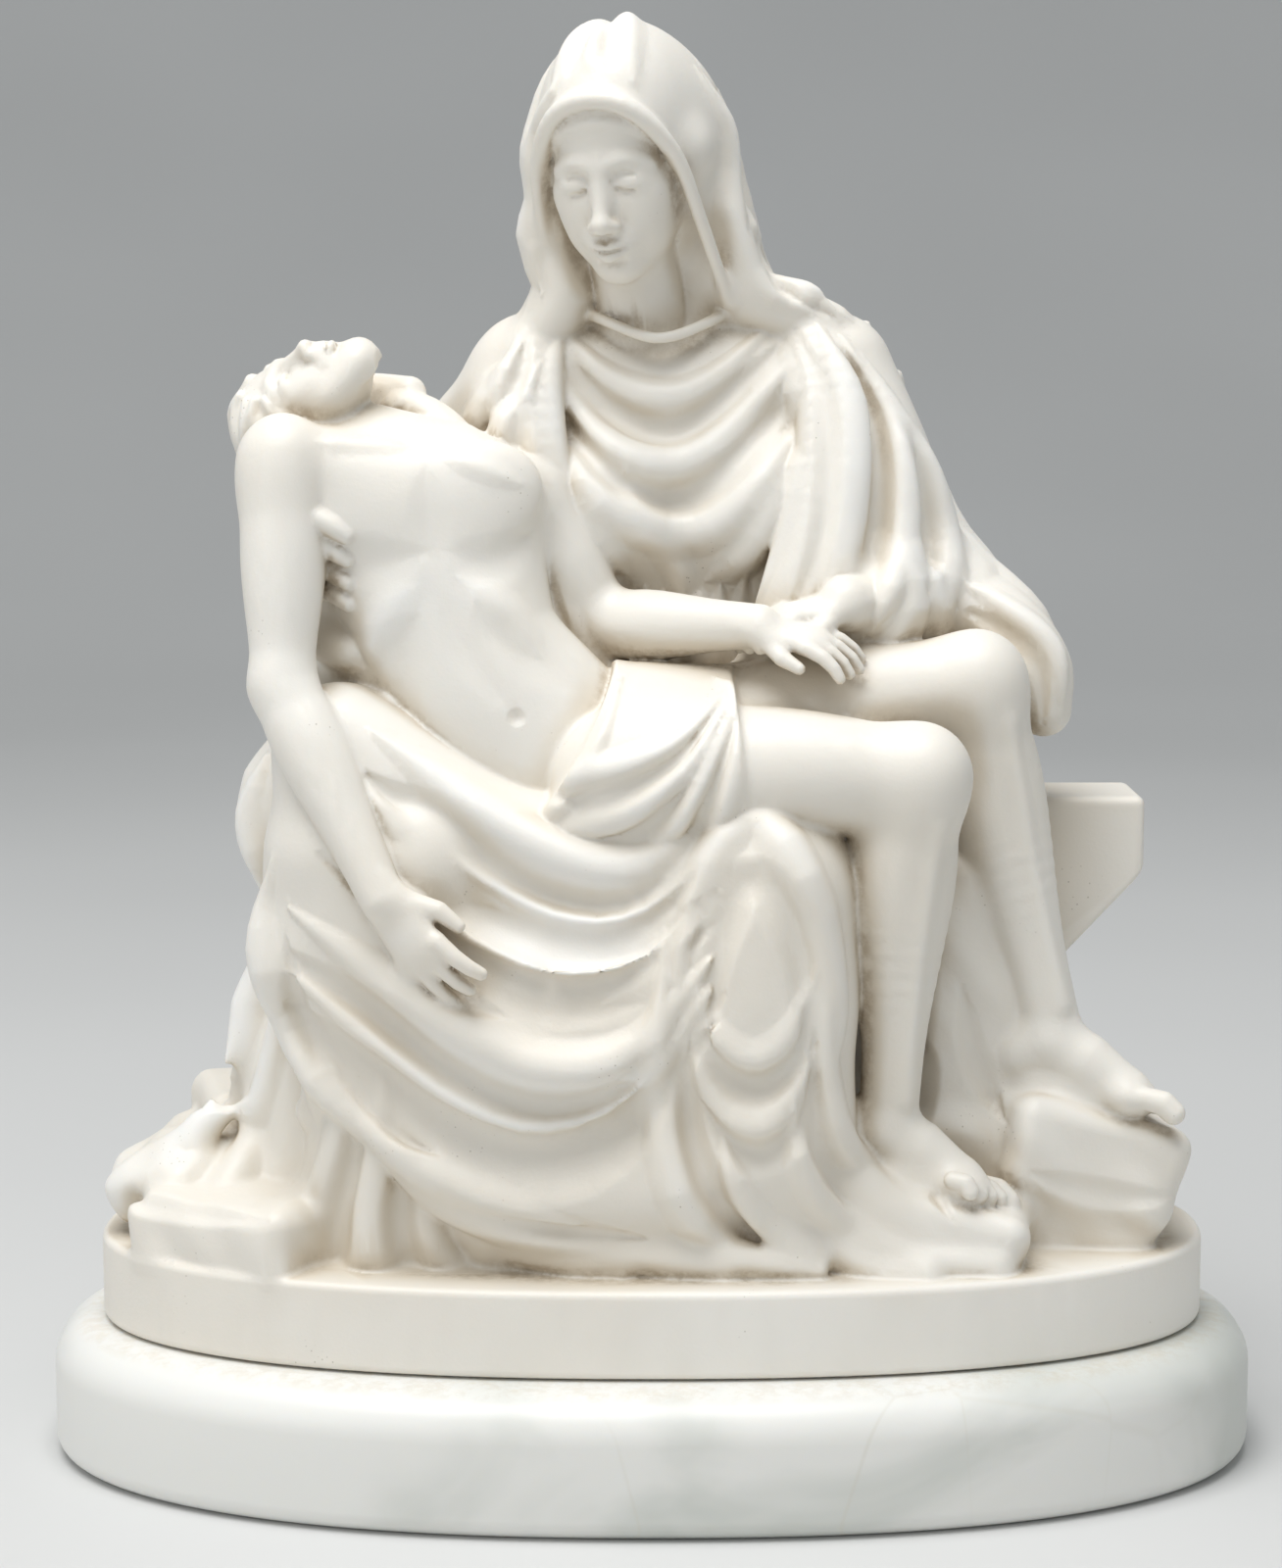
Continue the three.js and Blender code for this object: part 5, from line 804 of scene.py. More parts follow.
class Son:
    """Where the son's joints are; his right is the viewer's left"""
    head = [-55, -3, 135.5]
    collar = [-36.5, -9, 121]
    chest = [-36, -10, 116]
    waist = [-30, -13, 98]
    belly = [-20, -15, 86]
    pelvis = [-8, -15, 77]
    right_shoulder = [-58.5, -16, 128]
    right_elbow = [-58.5, -24, 93]
    right_wrist = [-42, -37, 61]
    left_shoulder = [-20, -3, 121]
    left_elbow = [-8, -4, 101]
    left_wrist = [17, -18, 102]
    right_hip = [-4, -22, 77]
    right_knee = [41.5, -27, 79]
    right_ankle = [38, -23, 22]
    left_hip = [2, -8, 80]
    left_knee = [52, -10, 92]
    left_ankle = [66, -12, 34]


def son_body():
    """His body, bare but for the loincloth"""
    clay = Clay()
    s = Son
    clay.join(curl([s.collar, s.chest, s.waist, s.belly, s.pelvis], [11, 17.6, 15.5, 15.5, 14.5],
                   [0.1, -0.97, 0.22], 0.62))
    clay.join(roll([s.right_shoulder, s.left_shoulder], [6.6, 7]), 7)
    f = Facing(s.chest, [-0.2, 0.1, 0.97], [0.12, -1, 0.2])
    for side in (-1, 1):
        clay.join(egg(f.at(side * 8.6, 5, 7.2), [10, 7.6, 3.4], f.axes), 5)
    clay.join(egg([-27, -17, 95], [8, 5, 11]), 7)
    clay.join(curl([s.collar, [-42.5, -8, 129], np.array(s.head) + [5, -2, -3]], [7.4, 6.4, 6]), 4)
    folds(clay, FRONT, [
        # The breastbone, the edge of the chest muscles, the arch of the ribs, the collarbones and ribs
        [-0.16, 4, [[-36, 128], [-35, 118], [-33.5, 110]]],
        [-0.2, 4.4, [[-54, 117], [-45, 112.5], [-35, 114]]],
        [-0.2, 4.4, [[-33, 114], [-25, 112.5], [-18.5, 117]]],
        [0.2, 4.4, [[-36, 110], [-43, 103], [-46, 95]]],
        [0.2, 4.4, [[-31, 110], [-23, 104], [-17, 97]]],
        [0.25, 2.6, [[-38, 130], [-46, 131], [-55, 131]]],
        [0.25, 2.6, [[-34, 129], [-27, 127], [-20, 124]]],
        [0.07, 2.6, [[-54, 110], [-49, 107.5], [-44, 108]]],
        [0.07, 2.6, [[-53, 105.5], [-48, 103], [-44, 103.5]]],
        [0.07, 2.6, [[-51, 101], [-47, 98.5], [-43, 99]]],
        # The belly: a line down its middle, a soft dip on each side, and the navel
        [-0.15, 3.5, [[-33, 108], [-29, 98], [-21, 88]]],
        [-0.12, 5.5, [[-37, 104], [-40, 96], [-37, 86]]],
        [-0.12, 5.5, [[-28, 106], [-21, 99], [-12, 92]]],
        [-0.6, 1.6, [[-22, 88.5], [-21, 87.5]]],
    ], 1.0)
    return clay


def son_arms():
    clay = Clay()
    s = Son
    for shoulder, elbow, wrist in ((s.right_shoulder, s.right_elbow, s.right_wrist),
                                   (s.left_shoulder, s.left_elbow, s.left_wrist)):
        clay.join(egg(np.array(shoulder) + [-0.3, 0, -2.5], [7, 7.4, 9.5]), 3)
        clay.join(curl([shoulder, mix(shoulder, elbow, 0.45), mix(shoulder, elbow, 0.8), elbow],
                       [7, 6.8, 5.4, 4.9]), 3)
        clay.join(curl([elbow, mix(elbow, wrist, 0.28), mix(elbow, wrist, 0.7), wrist],
                       [4.9, 5.8, 4.3, 3.5]), 3)
    clay.join(hand(s.right_wrist, [0.58, -0.15, -0.8], [0.5, 0.85, 0.15], 22, bend=0.2, thumb=-1), 2.5)
    clay.join(hand(s.left_wrist, [0.95, -0.25, -0.25], [0.1, 0.3, -1], 19, bend=0.3, thumb=1), 2.5)
    return clay


def son_legs():
    clay = Clay()
    s = Son
    for hip, knee, ankle, foot_ahead, sole, big in (
            (s.right_hip, s.right_knee, s.right_ankle, [0.94, -0.2, -0.28], [-0.28, -0.15, -0.94], -1),
            (s.left_hip, s.left_knee, s.left_ankle, [0.95, -0.18, -0.27], [-0.27, -0.1, -0.95], 1)):
        shin = np.subtract(ankle, knee)
        f = Facing(knee, -shin, [0.55, -1, 0.1])
        length = np.linalg.norm(shin)
        clay.join(curl([hip, mix(hip, knee, 0.5) + [0, 0, 1], mix(hip, knee, 0.85) + [0, 0, 0.4], knee],
                       [12.5, 10.7, 8.4, 7.8]), 3)
        clay.join(egg(f.at(0, -0.5, 3.8), [5.4, 7, 5.2], f.axes), 4)
        clay.join(curl([knee, f.at(0, -0.14 * length, -0.2), f.at(0, -0.33 * length, -2.4),
                        f.at(0, -0.72 * length, -0.6), ankle], [7.6, 7.6, 8.9, 5.4, 4.6]), 4)
        shinbone = [f.at(0, -0.12 * length, 8), f.at(0.5, -0.5 * length, 6), f.at(0, -0.9 * length, 4.5)]
        clay.swell(ridge(shinbone, [3]), 0.3)
        tread = Facing(ankle, foot_ahead, sole)
        clay.join(egg(tread.at(0, 4.5, 8.5), [4, 9.5, 5], tread.axes), 1.5)
        clay.join(foot(ankle, foot_ahead, sole, 29, big), 2)
    return clay


def son_head():
    """His head falls back over her arm, with long hair and a short beard"""
    face, f = head(Son.head, [-0.86, 0.33, -0.26], [-0.2, -0.5, 0.85], 26)
    at = f.at
    clay = Clay()
    # Hair: a cap open to the face, and a fall on each side behind the neck
    clay.join(egg(at(0, 0.15, -0.1), [10.6, 11.2, 11.6], f.axes))
    clay.join(curl([at(-0.28, 0.1, -0.1), at(-0.34, -0.2, -0.2), at(-0.3, -0.5, -0.22)], [4.6, 4.4, 2.8]), 4)
    clay.join(curl([at(0.28, 0.1, -0.1), at(0.34, -0.2, -0.2)], [4.6, 3.6]), 4)
    # Wavy locks combed back from the brow, laid on the hair from all round
    for i in range(15):
        turn = math.radians(-112 + 16 * i)
        side, rise = math.sin(turn), math.cos(turn)
        lock = []
        for k in range(11):
            t = k / 10
            wave = 0.045 * math.sin(2.4 * math.pi * t + 1.9 * i)
            back = 0.3 - 0.62 * t
            fall = -0.3 * t * t
            across = math.sqrt(max(1 - ((back + 0.1) / 0.47) ** 2, 0.05))
            aside = 0.4 * across * side + wave * rise
            above = 0.15 + 0.42 * across * rise - wave * side + fall
            lock.append(at(aside, above, back))
        clay.swell(ridge(lock, [1.4, 2.2, 2.2, 1.8], 0.45), 0.8)
    clay.cut(egg(at(0, -0.1, 0.5), [7.6, 11, 9], f.axes), 1)
    clay.join(face, 0.6)
    # Beard and moustache
    beard = both_sides([-0.26, -0.05, 0.1], [-0.2, -0.3, 0.18], [0, -0.47, 0.26])
    clay.join(curl([at(*p) for p in beard], [1.2, 2.2, 3, 2.2, 1.2]), 1.8)
    moustache = both_sides([-0.11, -0.3, 0.33], [-0.05, -0.245, 0.39], [0, -0.24, 0.4])
    clay.join(curl([at(*p) for p in moustache], [0.6, 0.9, 0.8, 0.9, 0.6]), 0.8)
    for i in range(9):
        a = (i - 4) / 4
        clay.swell(ridge([at(0.19 * a, -0.33, 0.3 - 0.12 * a * a), at(0.15 * a, -0.42, 0.31 - 0.12 * a * a),
                          at(0.1 * a, -0.55, 0.27 - 0.08 * a * a)], [0.9, 1.3, 1.2], 0.5), 0.7)
    return clay


def loincloth():
    """The loincloth is drawn over his hips and gathered on the near thigh"""
    clay = Clay()
    clay.join(curl([[-17, -14, 85], [-8, -19, 78], [3, -22, 78.5], [13, -22.5, 79]],
                   [13.4, 14.6, 13.8, 12.8]))
    clay.join(roll([[-8, -13, 82], [16, -12, 82]], [14, 13]), 4)
    folds(clay, FRONT, [
        [0.8, 3.4, [[11, 92], [2, 84], [-12, 80], [-26, 81]]],
        [0.85, 3.8, [[12, 91], [4, 80], [-8, 72], [-27, 70]]],
        [0.85, 3.8, [[12.5, 90], [7, 78], [0, 68], [-14, 62]]],
        [0.8, 3.6, [[14, 90], [12, 78], [8, 68], [2, 62]]],
        [-0.8, 3, [[10, 90], [3, 82], [-10, 76], [-23, 79]]],
        [-0.8, 3, [[11, 89], [5, 78], [-4, 70], [-17, 69]]],
        [-0.8, 3, [[13, 88], [9, 77], [4, 67], [-5, 62]]],
        # The rolled edge at the waist
        [0.7, 2.2, [[-22, 66.5], [-18, 70.5], [-12.7, 77.3], [-7.9, 86], [-4.6, 95]]],
        [0.8, 3, [[10, 94], [14, 91], [17, 84]]],
    ], 0.35)
    # Its edges: down from the waist, and round the near thigh
    clay.cut(egg([-60.2, -20, 109.3], [55.8, 90, 55.8]), 0.8)
    clay.cut(block([45, -20, 76], [30, 40, 30], 2, [[0.99, 0, 0.1], [0, 1, 0], [-0.1, 0, 0.99]]), 0.8)
    return clay


def mother_hands(held):
    """Her hands: one holds his side under the arm, one is laid on his wrist"""
    clay = Clay()
    m = Mother
    lines = [through([[-60, 0, z + 2], [-54, 0, z + 1], [-51, 0, z - 0.3], [-48.5, 0, z - 2]], FOLD_STEPS)
             for z in (118.5, 114.7, 111, 107.6)]
    laid, _ = laid_on(held, lines, [0, 1, 0])
    for finger in laid:
        clay.join(roll(finger, [2.2, 1.9, 1.75, 1.3]), 0.8)
    clay.join(roll([mix(m.right_elbow, m.right_wrist, 0.7), m.right_wrist, [-54, -2, 113]], [5, 4.2, 4]), 2)
    clay.join(roll([mix(m.left_elbow, m.left_wrist, 0.6), m.left_wrist], [5.6, 4.4]))
    clay.join(hand(m.left_wrist, [-0.95, -0.2, -0.2], [0, 0.1, -1], 20, bend=0.3, thumb=-1), 2)
    return clay


def carving():
    """All of the carved group as one lump of clay"""
    face, f = mother_head()
    clay = Clay()
    clay.join(ground())
    clay.join(gown(), 2)
    clay.join(skirt(), 4)
    clay.join(mantle(), 1.5)
    clay.join(lap_cloth(), 1.5)
    clay.join(veil(f), 1)
    clay.join(face, 0.6)
    body = son_body()
    clay.join(body, 0.8)
    clay.join(loincloth(), 0.8)
    clay.join(son_legs(), 1.5)
    clay.join(son_head(), 1.2)
    clay.join(son_arms(), 1)
    clay.join(mother_hands(body), 0.6)
    return clay


def oval_slab(half_length, half_depth, low, high, rounding):
    """A flat oval block: a superellipse with rounded edges"""
    power = OVAL_POWER

    def distance(p):
        x, y = np.abs(p[:, 0]) / half_length, np.abs(p[:, 1]) / half_depth
        f = np.maximum(x ** power + y ** power, 1e-6) ** (1 / power)
        slope = np.hypot((x / f) ** (power - 1) / half_length, (y / f) ** (power - 1) / half_depth)
        beside = (f - 1) / np.maximum(slope, 1e-6) + rounding
        above = np.abs(p[:, 2] - (low + high) / 2) - (high - low) / 2 + rounding
        outside = np.hypot(np.maximum(beside, 0), np.maximum(above, 0))
        return outside + np.minimum(np.maximum(beside, above), 0) - rounding

    return Shape([-half_length, -half_depth, low], [half_length, half_depth, high], distance)


BASE_EDGE_ROUNDING = 1.2


def casting():
    """The carved group and its oval base"""
    clay = carving()
    # What hangs down inside the base is cut off level
    clay.cut(block([0, 0, -54], [150, 150, 50], 1), 0.5)
    low = (base_underside - ground_level) / unit
    half = [group_high[i] / unit for i in range(2)]
    clay.join(oval_slab(half[0], half[1], low, 0, BASE_EDGE_ROUNDING), 1.0)
    return clay


# The surface is found on a grid whose step halves, level by level, near the surface only
COARSE_STEP = 2.0
LEVELS = 2
BLOCK = 24  # grid points along a side of the cubes that are handed out
NEAR = 1.7  # how many steps from the surface is near


def sampled(clay, low, step, values, chosen):
    """Fills in the chosen samples of a grid, cube by cube"""
    index = np.flatnonzero(chosen)
    i, j, k = np.unravel_index(index, chosen.shape)
    cubes = ((i // BLOCK) * 1000 + j // BLOCK) * 1000 + k // BLOCK
    order = np.argsort(cubes, kind="stable")
    index = index[order]
    points = low + step * np.stack([i, j, k], axis=1)[order]
    starts = np.flatnonzero(np.diff(cubes[order])) + 1
    flat = values.reshape(-1)

    def fill(part):
        flat[index[part]] = clay.distance(points[part])

    parts = np.split(np.arange(len(index)), starts)
    with ThreadPoolExecutor(WORKERS) as pool:
        list(pool.map(fill, parts))


def grid_of(clay):
    """The grid's low corner, its step, and the clay's distance at each of its points"""
    step = COARSE_STEP
    low = np.floor(clay.low / step) * step - 2 * step
    size = np.ceil((clay.high + 2 * step - low) / step).astype(int) + 1
    values = np.full(size, REACH, np.float32)
    sampled(clay, low, step, values, np.ones(size, bool))
    for _ in range(LEVELS):
        near = np.abs(values) < NEAR * step
        step /= 2
        for axis in range(3):
            values = np.repeat(values, 2, axis=axis)
            wide = near.copy()
            lower = [slice(None)] * 3
            upper = [slice(None)] * 3
            lower[axis], upper[axis] = slice(None, -1), slice(1, None)
            wide[tuple(lower)] |= near[tuple(upper)]
            near = np.repeat(wide, 2, axis=axis)
        sampled(clay, low, step, values, near)
    return low, step, values


def net(low, step, values):
    """A surface net: one vertex in each cell that the surface crosses, one quad for each crossed edge"""
    inside = values < 0
    cells = np.zeros([n - 1 for n in values.shape], np.uint8)
    corners = [(a, b, c) for a in (0, 1) for b in (0, 1) for c in (0, 1)]
    for a, b, c in corners:
        cells += inside[a:a + cells.shape[0], b:b + cells.shape[1], c:c + cells.shape[2]]
    active = np.flatnonzero((cells > 0) & (cells < 8))
    number = np.full(cells.size, -1, np.int32)
    number[active] = np.arange(len(active))
    number = number.reshape(cells.shape)
    place = np.stack(np.unravel_index(active, cells.shape), axis=1)

    total = np.zeros((len(active), 3))
    crossed = np.zeros(len(active))
    for axis in range(3):
        for a, b, c in corners:
            corner = np.array([a, b, c])
            if corner[axis]:
                continue
            far = corner.copy()
            far[axis] = 1
            v0 = values[tuple((place + corner).T)]
            v1 = values[tuple((place + far).T)]
            hit = np.flatnonzero((v0 < 0) != (v1 < 0))
            share = (v0[hit] / (v0[hit] - v1[hit]))[:, None]
            total[hit] += corner + share * (far - corner)
            crossed[hit] += 1
    points = low + step * (place + total / crossed[:, None])

    quads = []
    for axis in range(3):
        u, v = (axis + 1) % 3, (axis + 2) % 3
        first = [slice(1, -1)] * 3
        second = [slice(1, -1)] * 3
        first[axis], second[axis] = slice(None, -1), slice(1, None)
        start, end = inside[tuple(first)], inside[tuple(second)]
        at = np.stack(np.nonzero(start != end), axis=1)
        at[:, u] += 1
        at[:, v] += 1
        leaving = inside[tuple(at.T)]
        around = []
        for du, dv in ((0, 0), (-1, 0), (-1, -1), (0, -1)):
            cell = at.copy()
            cell[:, u] += du
            cell[:, v] += dv
            around.append(number[tuple(cell.T)])
        quad = np.stack(around, axis=1)
        quad[~leaving] = quad[~leaving][:, ::-1]
        quads.append(quad)
    return points, np.vstack(quads)


def one_piece(points, quads):
    """Only the largest connected part of the net"""
    label = np.arange(len(points))
    while True:
        least = label[quads].min(axis=1)
        before = label.copy()
        for corner in range(4):
            np.minimum.at(label, quads[:, corner], least)
        label = label[label]
        if (label == before).all():
            break
    largest = np.bincount(label).argmax()
    kept = label == largest
    number = np.cumsum(kept) - 1
    return points[kept], number[quads[kept[quads[:, 0]]]]


# From clay to mesh objects
MOST_TRIANGLES = 194000


def mesh_object(name, points, faces):
    mesh = bpy.data.meshes.new(name)
    mesh.from_pydata(points, [], faces)
    mesh.update()
    made = bpy.data.objects.new(name, mesh)
    bpy.context.collection.objects.link(made)
    return made


def thin_out(piece, most):
    """Collapses edges until few enough triangles are left"""
    triangles = sum(len(f.vertices) - 2 for f in piece.data.polygons)
    collapse = piece.modifiers.new("collapse", "DECIMATE")
    collapse.ratio = min(most / triangles, 1)
    collapse.use_collapse_triangulate = True
    graph = bpy.context.evaluated_depsgraph_get()
    thinner = bpy.data.meshes.new_from_object(piece.evaluated_get(graph))
    piece.modifiers.clear()
    piece.data = thinner


TILE = 12  # units along a side of the cubes by which points are put in order
PARTS = 64 * WORKERS


def in_parts(work, points):
    """Runs some work on an array of points, in parts that lie close together"""
    order = np.lexsort((points[:, 1] // TILE, points[:, 0] // TILE, points[:, 2] // TILE))
    with ThreadPoolExecutor(WORKERS) as pool:
        done = np.concatenate(list(pool.map(work, np.array_split(points[order], PARTS))))
    back = np.empty_like(done)
    back[order] = done
    return back


SLOPE_REACH = 0.35  # units to each side over which a slope is measured


def slopes(clay, points):
    """The clay's gradient at some points"""
    parts = []
    for axis in range(3):
        step = np.zeros(3)
        step[axis] = SLOPE_REACH
        parts.append(in_parts(clay.distance, points + step) - in_parts(clay.distance, points - step))
    return np.stack(parts, axis=1) / (2 * SLOPE_REACH)


MOST_SHIFT = 0.25  # units by which a point may be moved back onto the surface


def statue():
    """The casting's mesh, in metres, with smooth normals and a measure of how shut in each point is"""
    clay = casting()
    points, quads = one_piece(*net(*grid_of(clay)))
    piece = mesh_object("carving", points, quads)
    thin_out(piece, MOST_TRIANGLES)
    points = np.empty(3 * len(piece.data.vertices))
    piece.data.vertices.foreach_get("co", points)
    points = points.reshape(-1, 3)

    # Back onto the surface that the thinning left a little
    slope = slopes(clay, points)
    steepness = np.linalg.norm(slope, axis=1)
    off = in_parts(clay.distance, points) / np.maximum(steepness, 0.5)
    normals = slope / np.maximum(steepness, 1e-6)[:, None]
    points = points - np.clip(off, -MOST_SHIFT, MOST_SHIFT)[:, None] * normals

    # How shut in each point is: the share of a short way out from it that other clay takes up
    for name, reach in (("crease", 0.8), ("hollow", 2.5), ("shelter", 7.0)):
        open_way = in_parts(clay.distance, points + normals * reach)
        layer = piece.data.attributes.new(name, "FLOAT", "POINT")
        layer.data.foreach_set("value", np.clip(1 - open_way / reach, -1, 1).astype(np.float32))

    placed = points * unit + [0, 0, ground_level]
    piece.data.vertices.foreach_set("co", placed.ravel())
    piece.data.update()
    piece.data.shade_smooth()
    piece.data.normals_split_custom_set_from_vertices(normals)
    return piece


# The plinth: rings of points, each inset from the oval outline at its own height
RING_POINTS = 320
ROUND_STEPS = 10
FOOT_RADIUS = 0.0035
TOP_RADIUS = 0.007
TOP_INSETS = (0.004, 0.012, 0.024)  # of the rings on the flat top, past its rounding


def plinth():
    half_length, half_depth, height = plinth_high[0], plinth_high[1], plinth_high[2]
    bends = np.linspace(0, math.pi / 2, ROUND_STEPS + 1)
    levels = [(FOOT_RADIUS * (1 - math.sin(a)), FOOT_RADIUS * (1 - math.cos(a))) for a in bends]
    levels += [(TOP_RADIUS * (1 - math.cos(a)), height - TOP_RADIUS * (1 - math.sin(a))) for a in bends]
    levels += [(TOP_RADIUS + inset, height) for inset in TOP_INSETS]
    turns = np.arange(RING_POINTS) * 2 * math.pi / RING_POINTS
    power = 2 / OVAL_POWER
    x = np.sign(np.cos(turns)) * np.abs(np.cos(turns)) ** power
    y = np.sign(np.sin(turns)) * np.abs(np.sin(turns)) ** power

    def ring(inset, z):
        return np.stack([(half_length - inset) * x, (half_depth - inset) * y, np.full_like(x, z)], axis=1)

    points = np.vstack([ring(inset, z) for inset, z in levels])
    faces = [list(range(RING_POINTS))[::-1]]
    for level in range(len(levels) - 1):
        for i in range(RING_POINTS):
            low = level * RING_POINTS
            following = (i + 1) % RING_POINTS
            faces.append([low + i, low + following, low + RING_POINTS + following, low + RING_POINTS + i])
    last = (len(levels) - 1) * RING_POINTS
    faces.append(list(range(last, last + RING_POINTS)))
    piece = mesh_object("stone_plinth", points, faces)
    piece.data.shade_smooth()
    return piece


# Finishes
class Finish:
    """A material in the making: each call adds a node and gives back one of its outputs"""

    def __init__(self, name):
        self.material = bpy.data.materials.new(name)
        self.material.use_nodes = True
        self.tree = self.material.node_tree
        self.tree.nodes.clear()

    def node(self, kind, output, inputs, **settings):
        made = self.tree.nodes.new(kind)
        for name, value in settings.items():
            setattr(made, name, value)
        for key, value in inputs.items():
            if isinstance(value, bpy.types.NodeSocket):
                self.tree.links.new(value, made.inputs[key])
            else:
                made.inputs[key].default_value = value
        return made.outputs[output]

    def place(self):
        return self.node("ShaderNodeTexCoord", "Object", {})

    def attribute(self, name):
        return self.node("ShaderNodeAttribute", "Fac", {}, attribute_name=name)

    def stretched(self, where, scale):
        return self.node("ShaderNodeMapping", "Vector", {"Vector": where, "Scale": scale})

    def noise(self, where, scale, detail=4.0, roughness=0.55, distortion=0.0):
        return self.node("ShaderNodeTexNoise", "Fac", {"Vector": where, "Scale": scale, "Detail": detail,
                                                       "Roughness": roughness, "Distortion": distortion})

    def cells(self, where, scale, feature="F1"):
        return self.node("ShaderNodeTexVoronoi", "Distance", {"Vector": where, "Scale": scale},
                         feature=feature)

    def ramp(self, value, start, end):
        """From 0 at start to 1 at end, smoothly"""
        return self.node("ShaderNodeMapRange", "Result", {"Value": value, "From Min": start, "From Max": end},
                         interpolation_type="SMOOTHSTEP")

    def maths(self, operation, a, b):
        return self.node("ShaderNodeMath", 0, {0: a, 1: b}, operation=operation, use_clamp=True)

    def product(self, a, b):
        return self.maths("MULTIPLY", a, b)

    def mixed(self, share, a, b):
        """A mix of two colours: the node's inputs 6 and 7 and its output 2 are its colour sockets"""
        return self.node("ShaderNodeMix", 2, {0: share, 6: a, 7: b}, data_type="RGBA")

    def tinted(self, body, tint, there, strength):
        """The body colour with a tint over it, as strong as said where the pattern is 1"""
        return self.mixed(self.product(there, strength), body, tint)

    def bump(self, height, strength, distance):
        return self.node("ShaderNodeBump", "Normal",
                         {"Height": height, "Strength": strength, "Distance": distance})

    def finished(self, body, roughness, normal, **values):
        inputs = {"Base Color": body, "Roughness": roughness, "Normal": normal}
        inputs.update({name.replace("_", " "): value for name, value in values.items()})
        shader = self.node("ShaderNodeBsdfPrincipled", "BSDF", inputs, subsurface_method="RANDOM_WALK")
        output = self.tree.nodes.new("ShaderNodeOutputMaterial")
        self.tree.links.new(shader, output.inputs["Surface"])
        return self.material


def colour(red, green, blue):
    return (red, green, blue, 1.0)


def grey(level):
    return colour(level, level, level)


def cast_marble():
    """Ivory bonded marble: a painted highlight on raised places, painted shade where sheltered and in
    creases, brown dirt with painted shade in its hollows, and specks
    """
    f = Finish("cast_marble")
    where = f.place()
    crease, hollow, shelter = [f.attribute(name) for name in ("crease", "hollow", "shelter")]
    clouds = f.ramp(f.noise(where, 14.0, 3.0), 0.35, 0.7)
    body = f.mixed(clouds, colour(0.80, 0.76, 0.685), colour(0.835, 0.81, 0.755))
    # Whiter on raised, open places: a painted highlight
    raised_highlight = f.ramp(f.product(hollow, -1.0), 0.1, 0.9)
    body = f.mixed(raised_highlight, body, colour(0.86, 0.85, 0.82))
    # Darker and browner where the clay is sheltered: painted shade
    sheltered_shade = f.ramp(shelter, 0.15, 0.95)
    body = f.tinted(body, colour(0.60, 0.52, 0.40), sheltered_shade, 0.65)
    # Brown in the hollows, broken up by noise: dirt, together with painted shade
    broken = f.ramp(f.noise(where, 260.0, 5.0, 0.7), 0.32, 0.66)
    grime_and_shade = f.product(f.ramp(hollow, 0.25, 1.0), broken)
    body = f.tinted(body, colour(0.38, 0.30, 0.20), grime_and_shade, 0.7)
    # Deep brown in the tight creases, broken up by noise: painted shade
    crease_shade = f.product(f.ramp(crease, 0.5, 1.0), f.ramp(f.noise(where, 420.0, 3.0), 0.45, 0.6))
    body = f.tinted(body, colour(0.20, 0.14, 0.08), crease_shade, 0.65)
    speck = f.ramp(f.cells(where, 900.0), 0.16, 0.08)
    sparse = f.ramp(f.noise(where, 60.0, 2.0), 0.60, 0.70)
    body = f.tinted(body, colour(0.22, 0.17, 0.11), speck, f.product(sparse, 0.5))
    grain = f.noise(where, 1500.0, 3.0, 0.6)
    swell = f.noise(where, 160.0, 2.0)
    height = f.maths("ADD", f.product(grain, 0.35), f.product(swell, 0.65))
    rough = f.tinted(grey(0.46), grey(0.8), grime_and_shade, 0.8)
    return f.finished(body, rough, f.bump(height, 0.25, 0.0004), Subsurface_Weight=0.2,
                      Subsurface_Radius=(1.0, 0.8, 0.6), Subsurface_Scale=0.0018, IOR=1.5)


def alabaster():
    """White plinth stone with soft grey-green clouds, a few veins and dust on its top"""
    f = Finish("alabaster")
    where = f.place()
    clouds = f.ramp(f.noise(f.stretched(where, (1.0, 1.0, 1.6)), 16.0, 4.0, 0.5, 0.8), 0.46, 0.72)
    body = f.mixed(clouds, colour(0.79, 0.785, 0.75), colour(0.60, 0.615, 0.575))
    edges = f.cells(f.stretched(where, (1.0, 1.0, 0.45)), 30.0, "DISTANCE_TO_EDGE")
    veins = f.product(f.ramp(edges, 0.012, 0.0), f.ramp(f.noise(where, 9.0, 1.0), 0.55, 0.75))
    body = f.tinted(body, colour(0.62, 0.585, 0.49), veins, 0.45)
    upward = f.node("ShaderNodeSeparateXYZ", "Z", {0: f.node("ShaderNodeNewGeometry", "Normal", {})})
    dust = f.product(f.ramp(upward, 0.8, 1.0), f.ramp(f.noise(where, 300.0, 5.0, 0.7), 0.4, 0.65))
    body = f.tinted(body, colour(0.50, 0.42, 0.30), dust, 0.3)
    rough = f.mixed(dust, grey(0.38), grey(0.7))
    return f.finished(body, rough, f.bump(f.noise(where, 220.0, 4.0), 0.12, 0.0003), Subsurface_Weight=0.3,
                      Subsurface_Radius=(1.0, 0.85, 0.65), Subsurface_Scale=0.004, IOR=1.5)


def pale_floor():
    f = Finish("pale_floor")
    tone = f.ramp(f.noise(f.place(), 2.0, 2.0), 0.3, 0.7)
    body = f.mixed(tone, colour(0.60, 0.60, 0.59), colour(0.64, 0.64, 0.63))
    return f.finished(body, 0.7, f.bump(f.noise(f.place(), 300.0), 0.05, 0.0003))


carved = statue()
carved.data.materials.append(cast_marble())
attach(carved, "root")
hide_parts("pieta_group")

stand = plinth()
stand.data.materials.append(alabaster())
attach(stand, "root")
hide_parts("plinth")

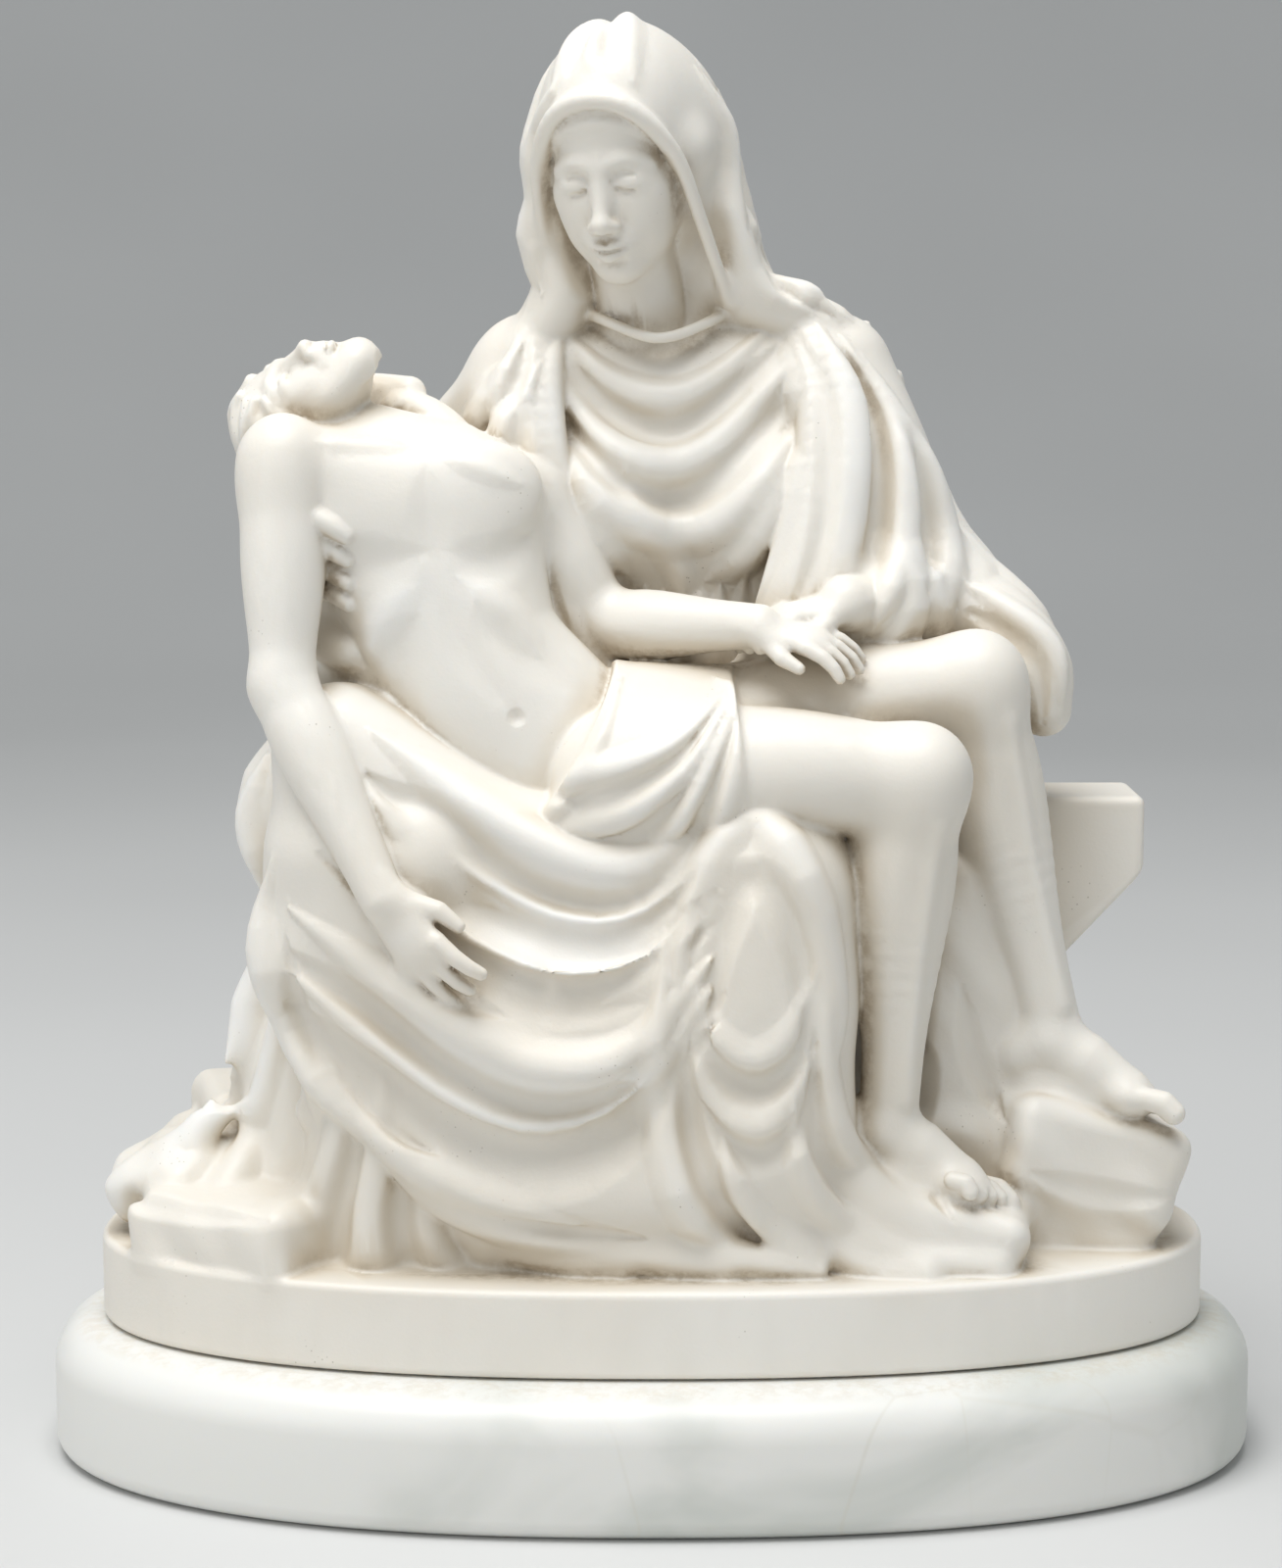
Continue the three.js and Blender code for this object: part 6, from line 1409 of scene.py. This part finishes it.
# A pale floor that runs up behind the object
FLOOR_HALF = 3.0
SWEEP_RADIUS = 1.2
SWEEP_START = 1.0
SWEEP_STEPS = 12
SWEEP_TOP = 3.0
sweep = [(-FLOOR_HALF, 0.0)]
for i in range(SWEEP_STEPS + 1):
    bend = i / SWEEP_STEPS * math.pi / 2
    sweep.append((SWEEP_START + SWEEP_RADIUS * math.sin(bend), SWEEP_RADIUS * (1 - math.cos(bend))))
sweep.append((SWEEP_START + SWEEP_RADIUS, SWEEP_TOP))
floor_points = [(x, y, z) for y, z in sweep for x in (-FLOOR_HALF, FLOOR_HALF)]
floor_faces = [(2 * i, 2 * i + 1, 2 * i + 3, 2 * i + 2) for i in range(len(sweep) - 1)]
floor = mesh_object("floor", floor_points, floor_faces)
floor.data.shade_smooth()
floor.data.materials.append(pale_floor())


# Soft light: a wide lamp above and in front, a weaker one at the left, and a pale sky
def lamp(name, place, aim, size, power):
    data = bpy.data.lights.new(name, "AREA")
    data.shape = "DISK"
    data.size = size
    data.energy = power
    made = bpy.data.objects.new(name, data)
    made.location = place
    towards = Vector(aim) - Vector(place)
    made.rotation_euler = towards.to_track_quat("-Z", "Y").to_euler()
    bpy.context.collection.objects.link(made)


lamp("overhead", place=(-0.15, -0.25, 1.1), aim=(0, 0, 0.1), size=0.8, power=11.0)
lamp("fill", place=(-0.9, -0.9, 0.6), aim=(0, 0, 0.12), size=0.8, power=2.0)
sky = bpy.data.worlds.new("soft_sky")
sky.use_nodes = True
sky.node_tree.nodes["Background"].inputs["Color"].default_value = colour(0.93, 0.97, 1.0)
sky.node_tree.nodes["Background"].inputs["Strength"].default_value = 0.45
bpy.context.scene.world = sky
bpy.context.scene.view_settings.view_transform = "Standard"

# The photograph's view: from in front, a little above the middle, looking slightly down
CAMERA_PLACE = (-0.0018, -0.550, 0.182)
CAMERA_PITCH = math.radians(7.48456)  # downward
FOCAL_PIXELS = 3450
FRAME_PIXELS = 1600
camera_data = bpy.data.cameras.new("camera")
camera_data.sensor_width = 36.0
camera_data.lens = camera_data.sensor_width * FOCAL_PIXELS / FRAME_PIXELS
camera_data.clip_start = 0.01
camera = bpy.data.objects.new("camera", camera_data)
camera.location = CAMERA_PLACE
camera.rotation_euler = (math.pi / 2 - CAMERA_PITCH, 0, 0)
bpy.context.collection.objects.link(camera)
bpy.context.scene.camera = camera
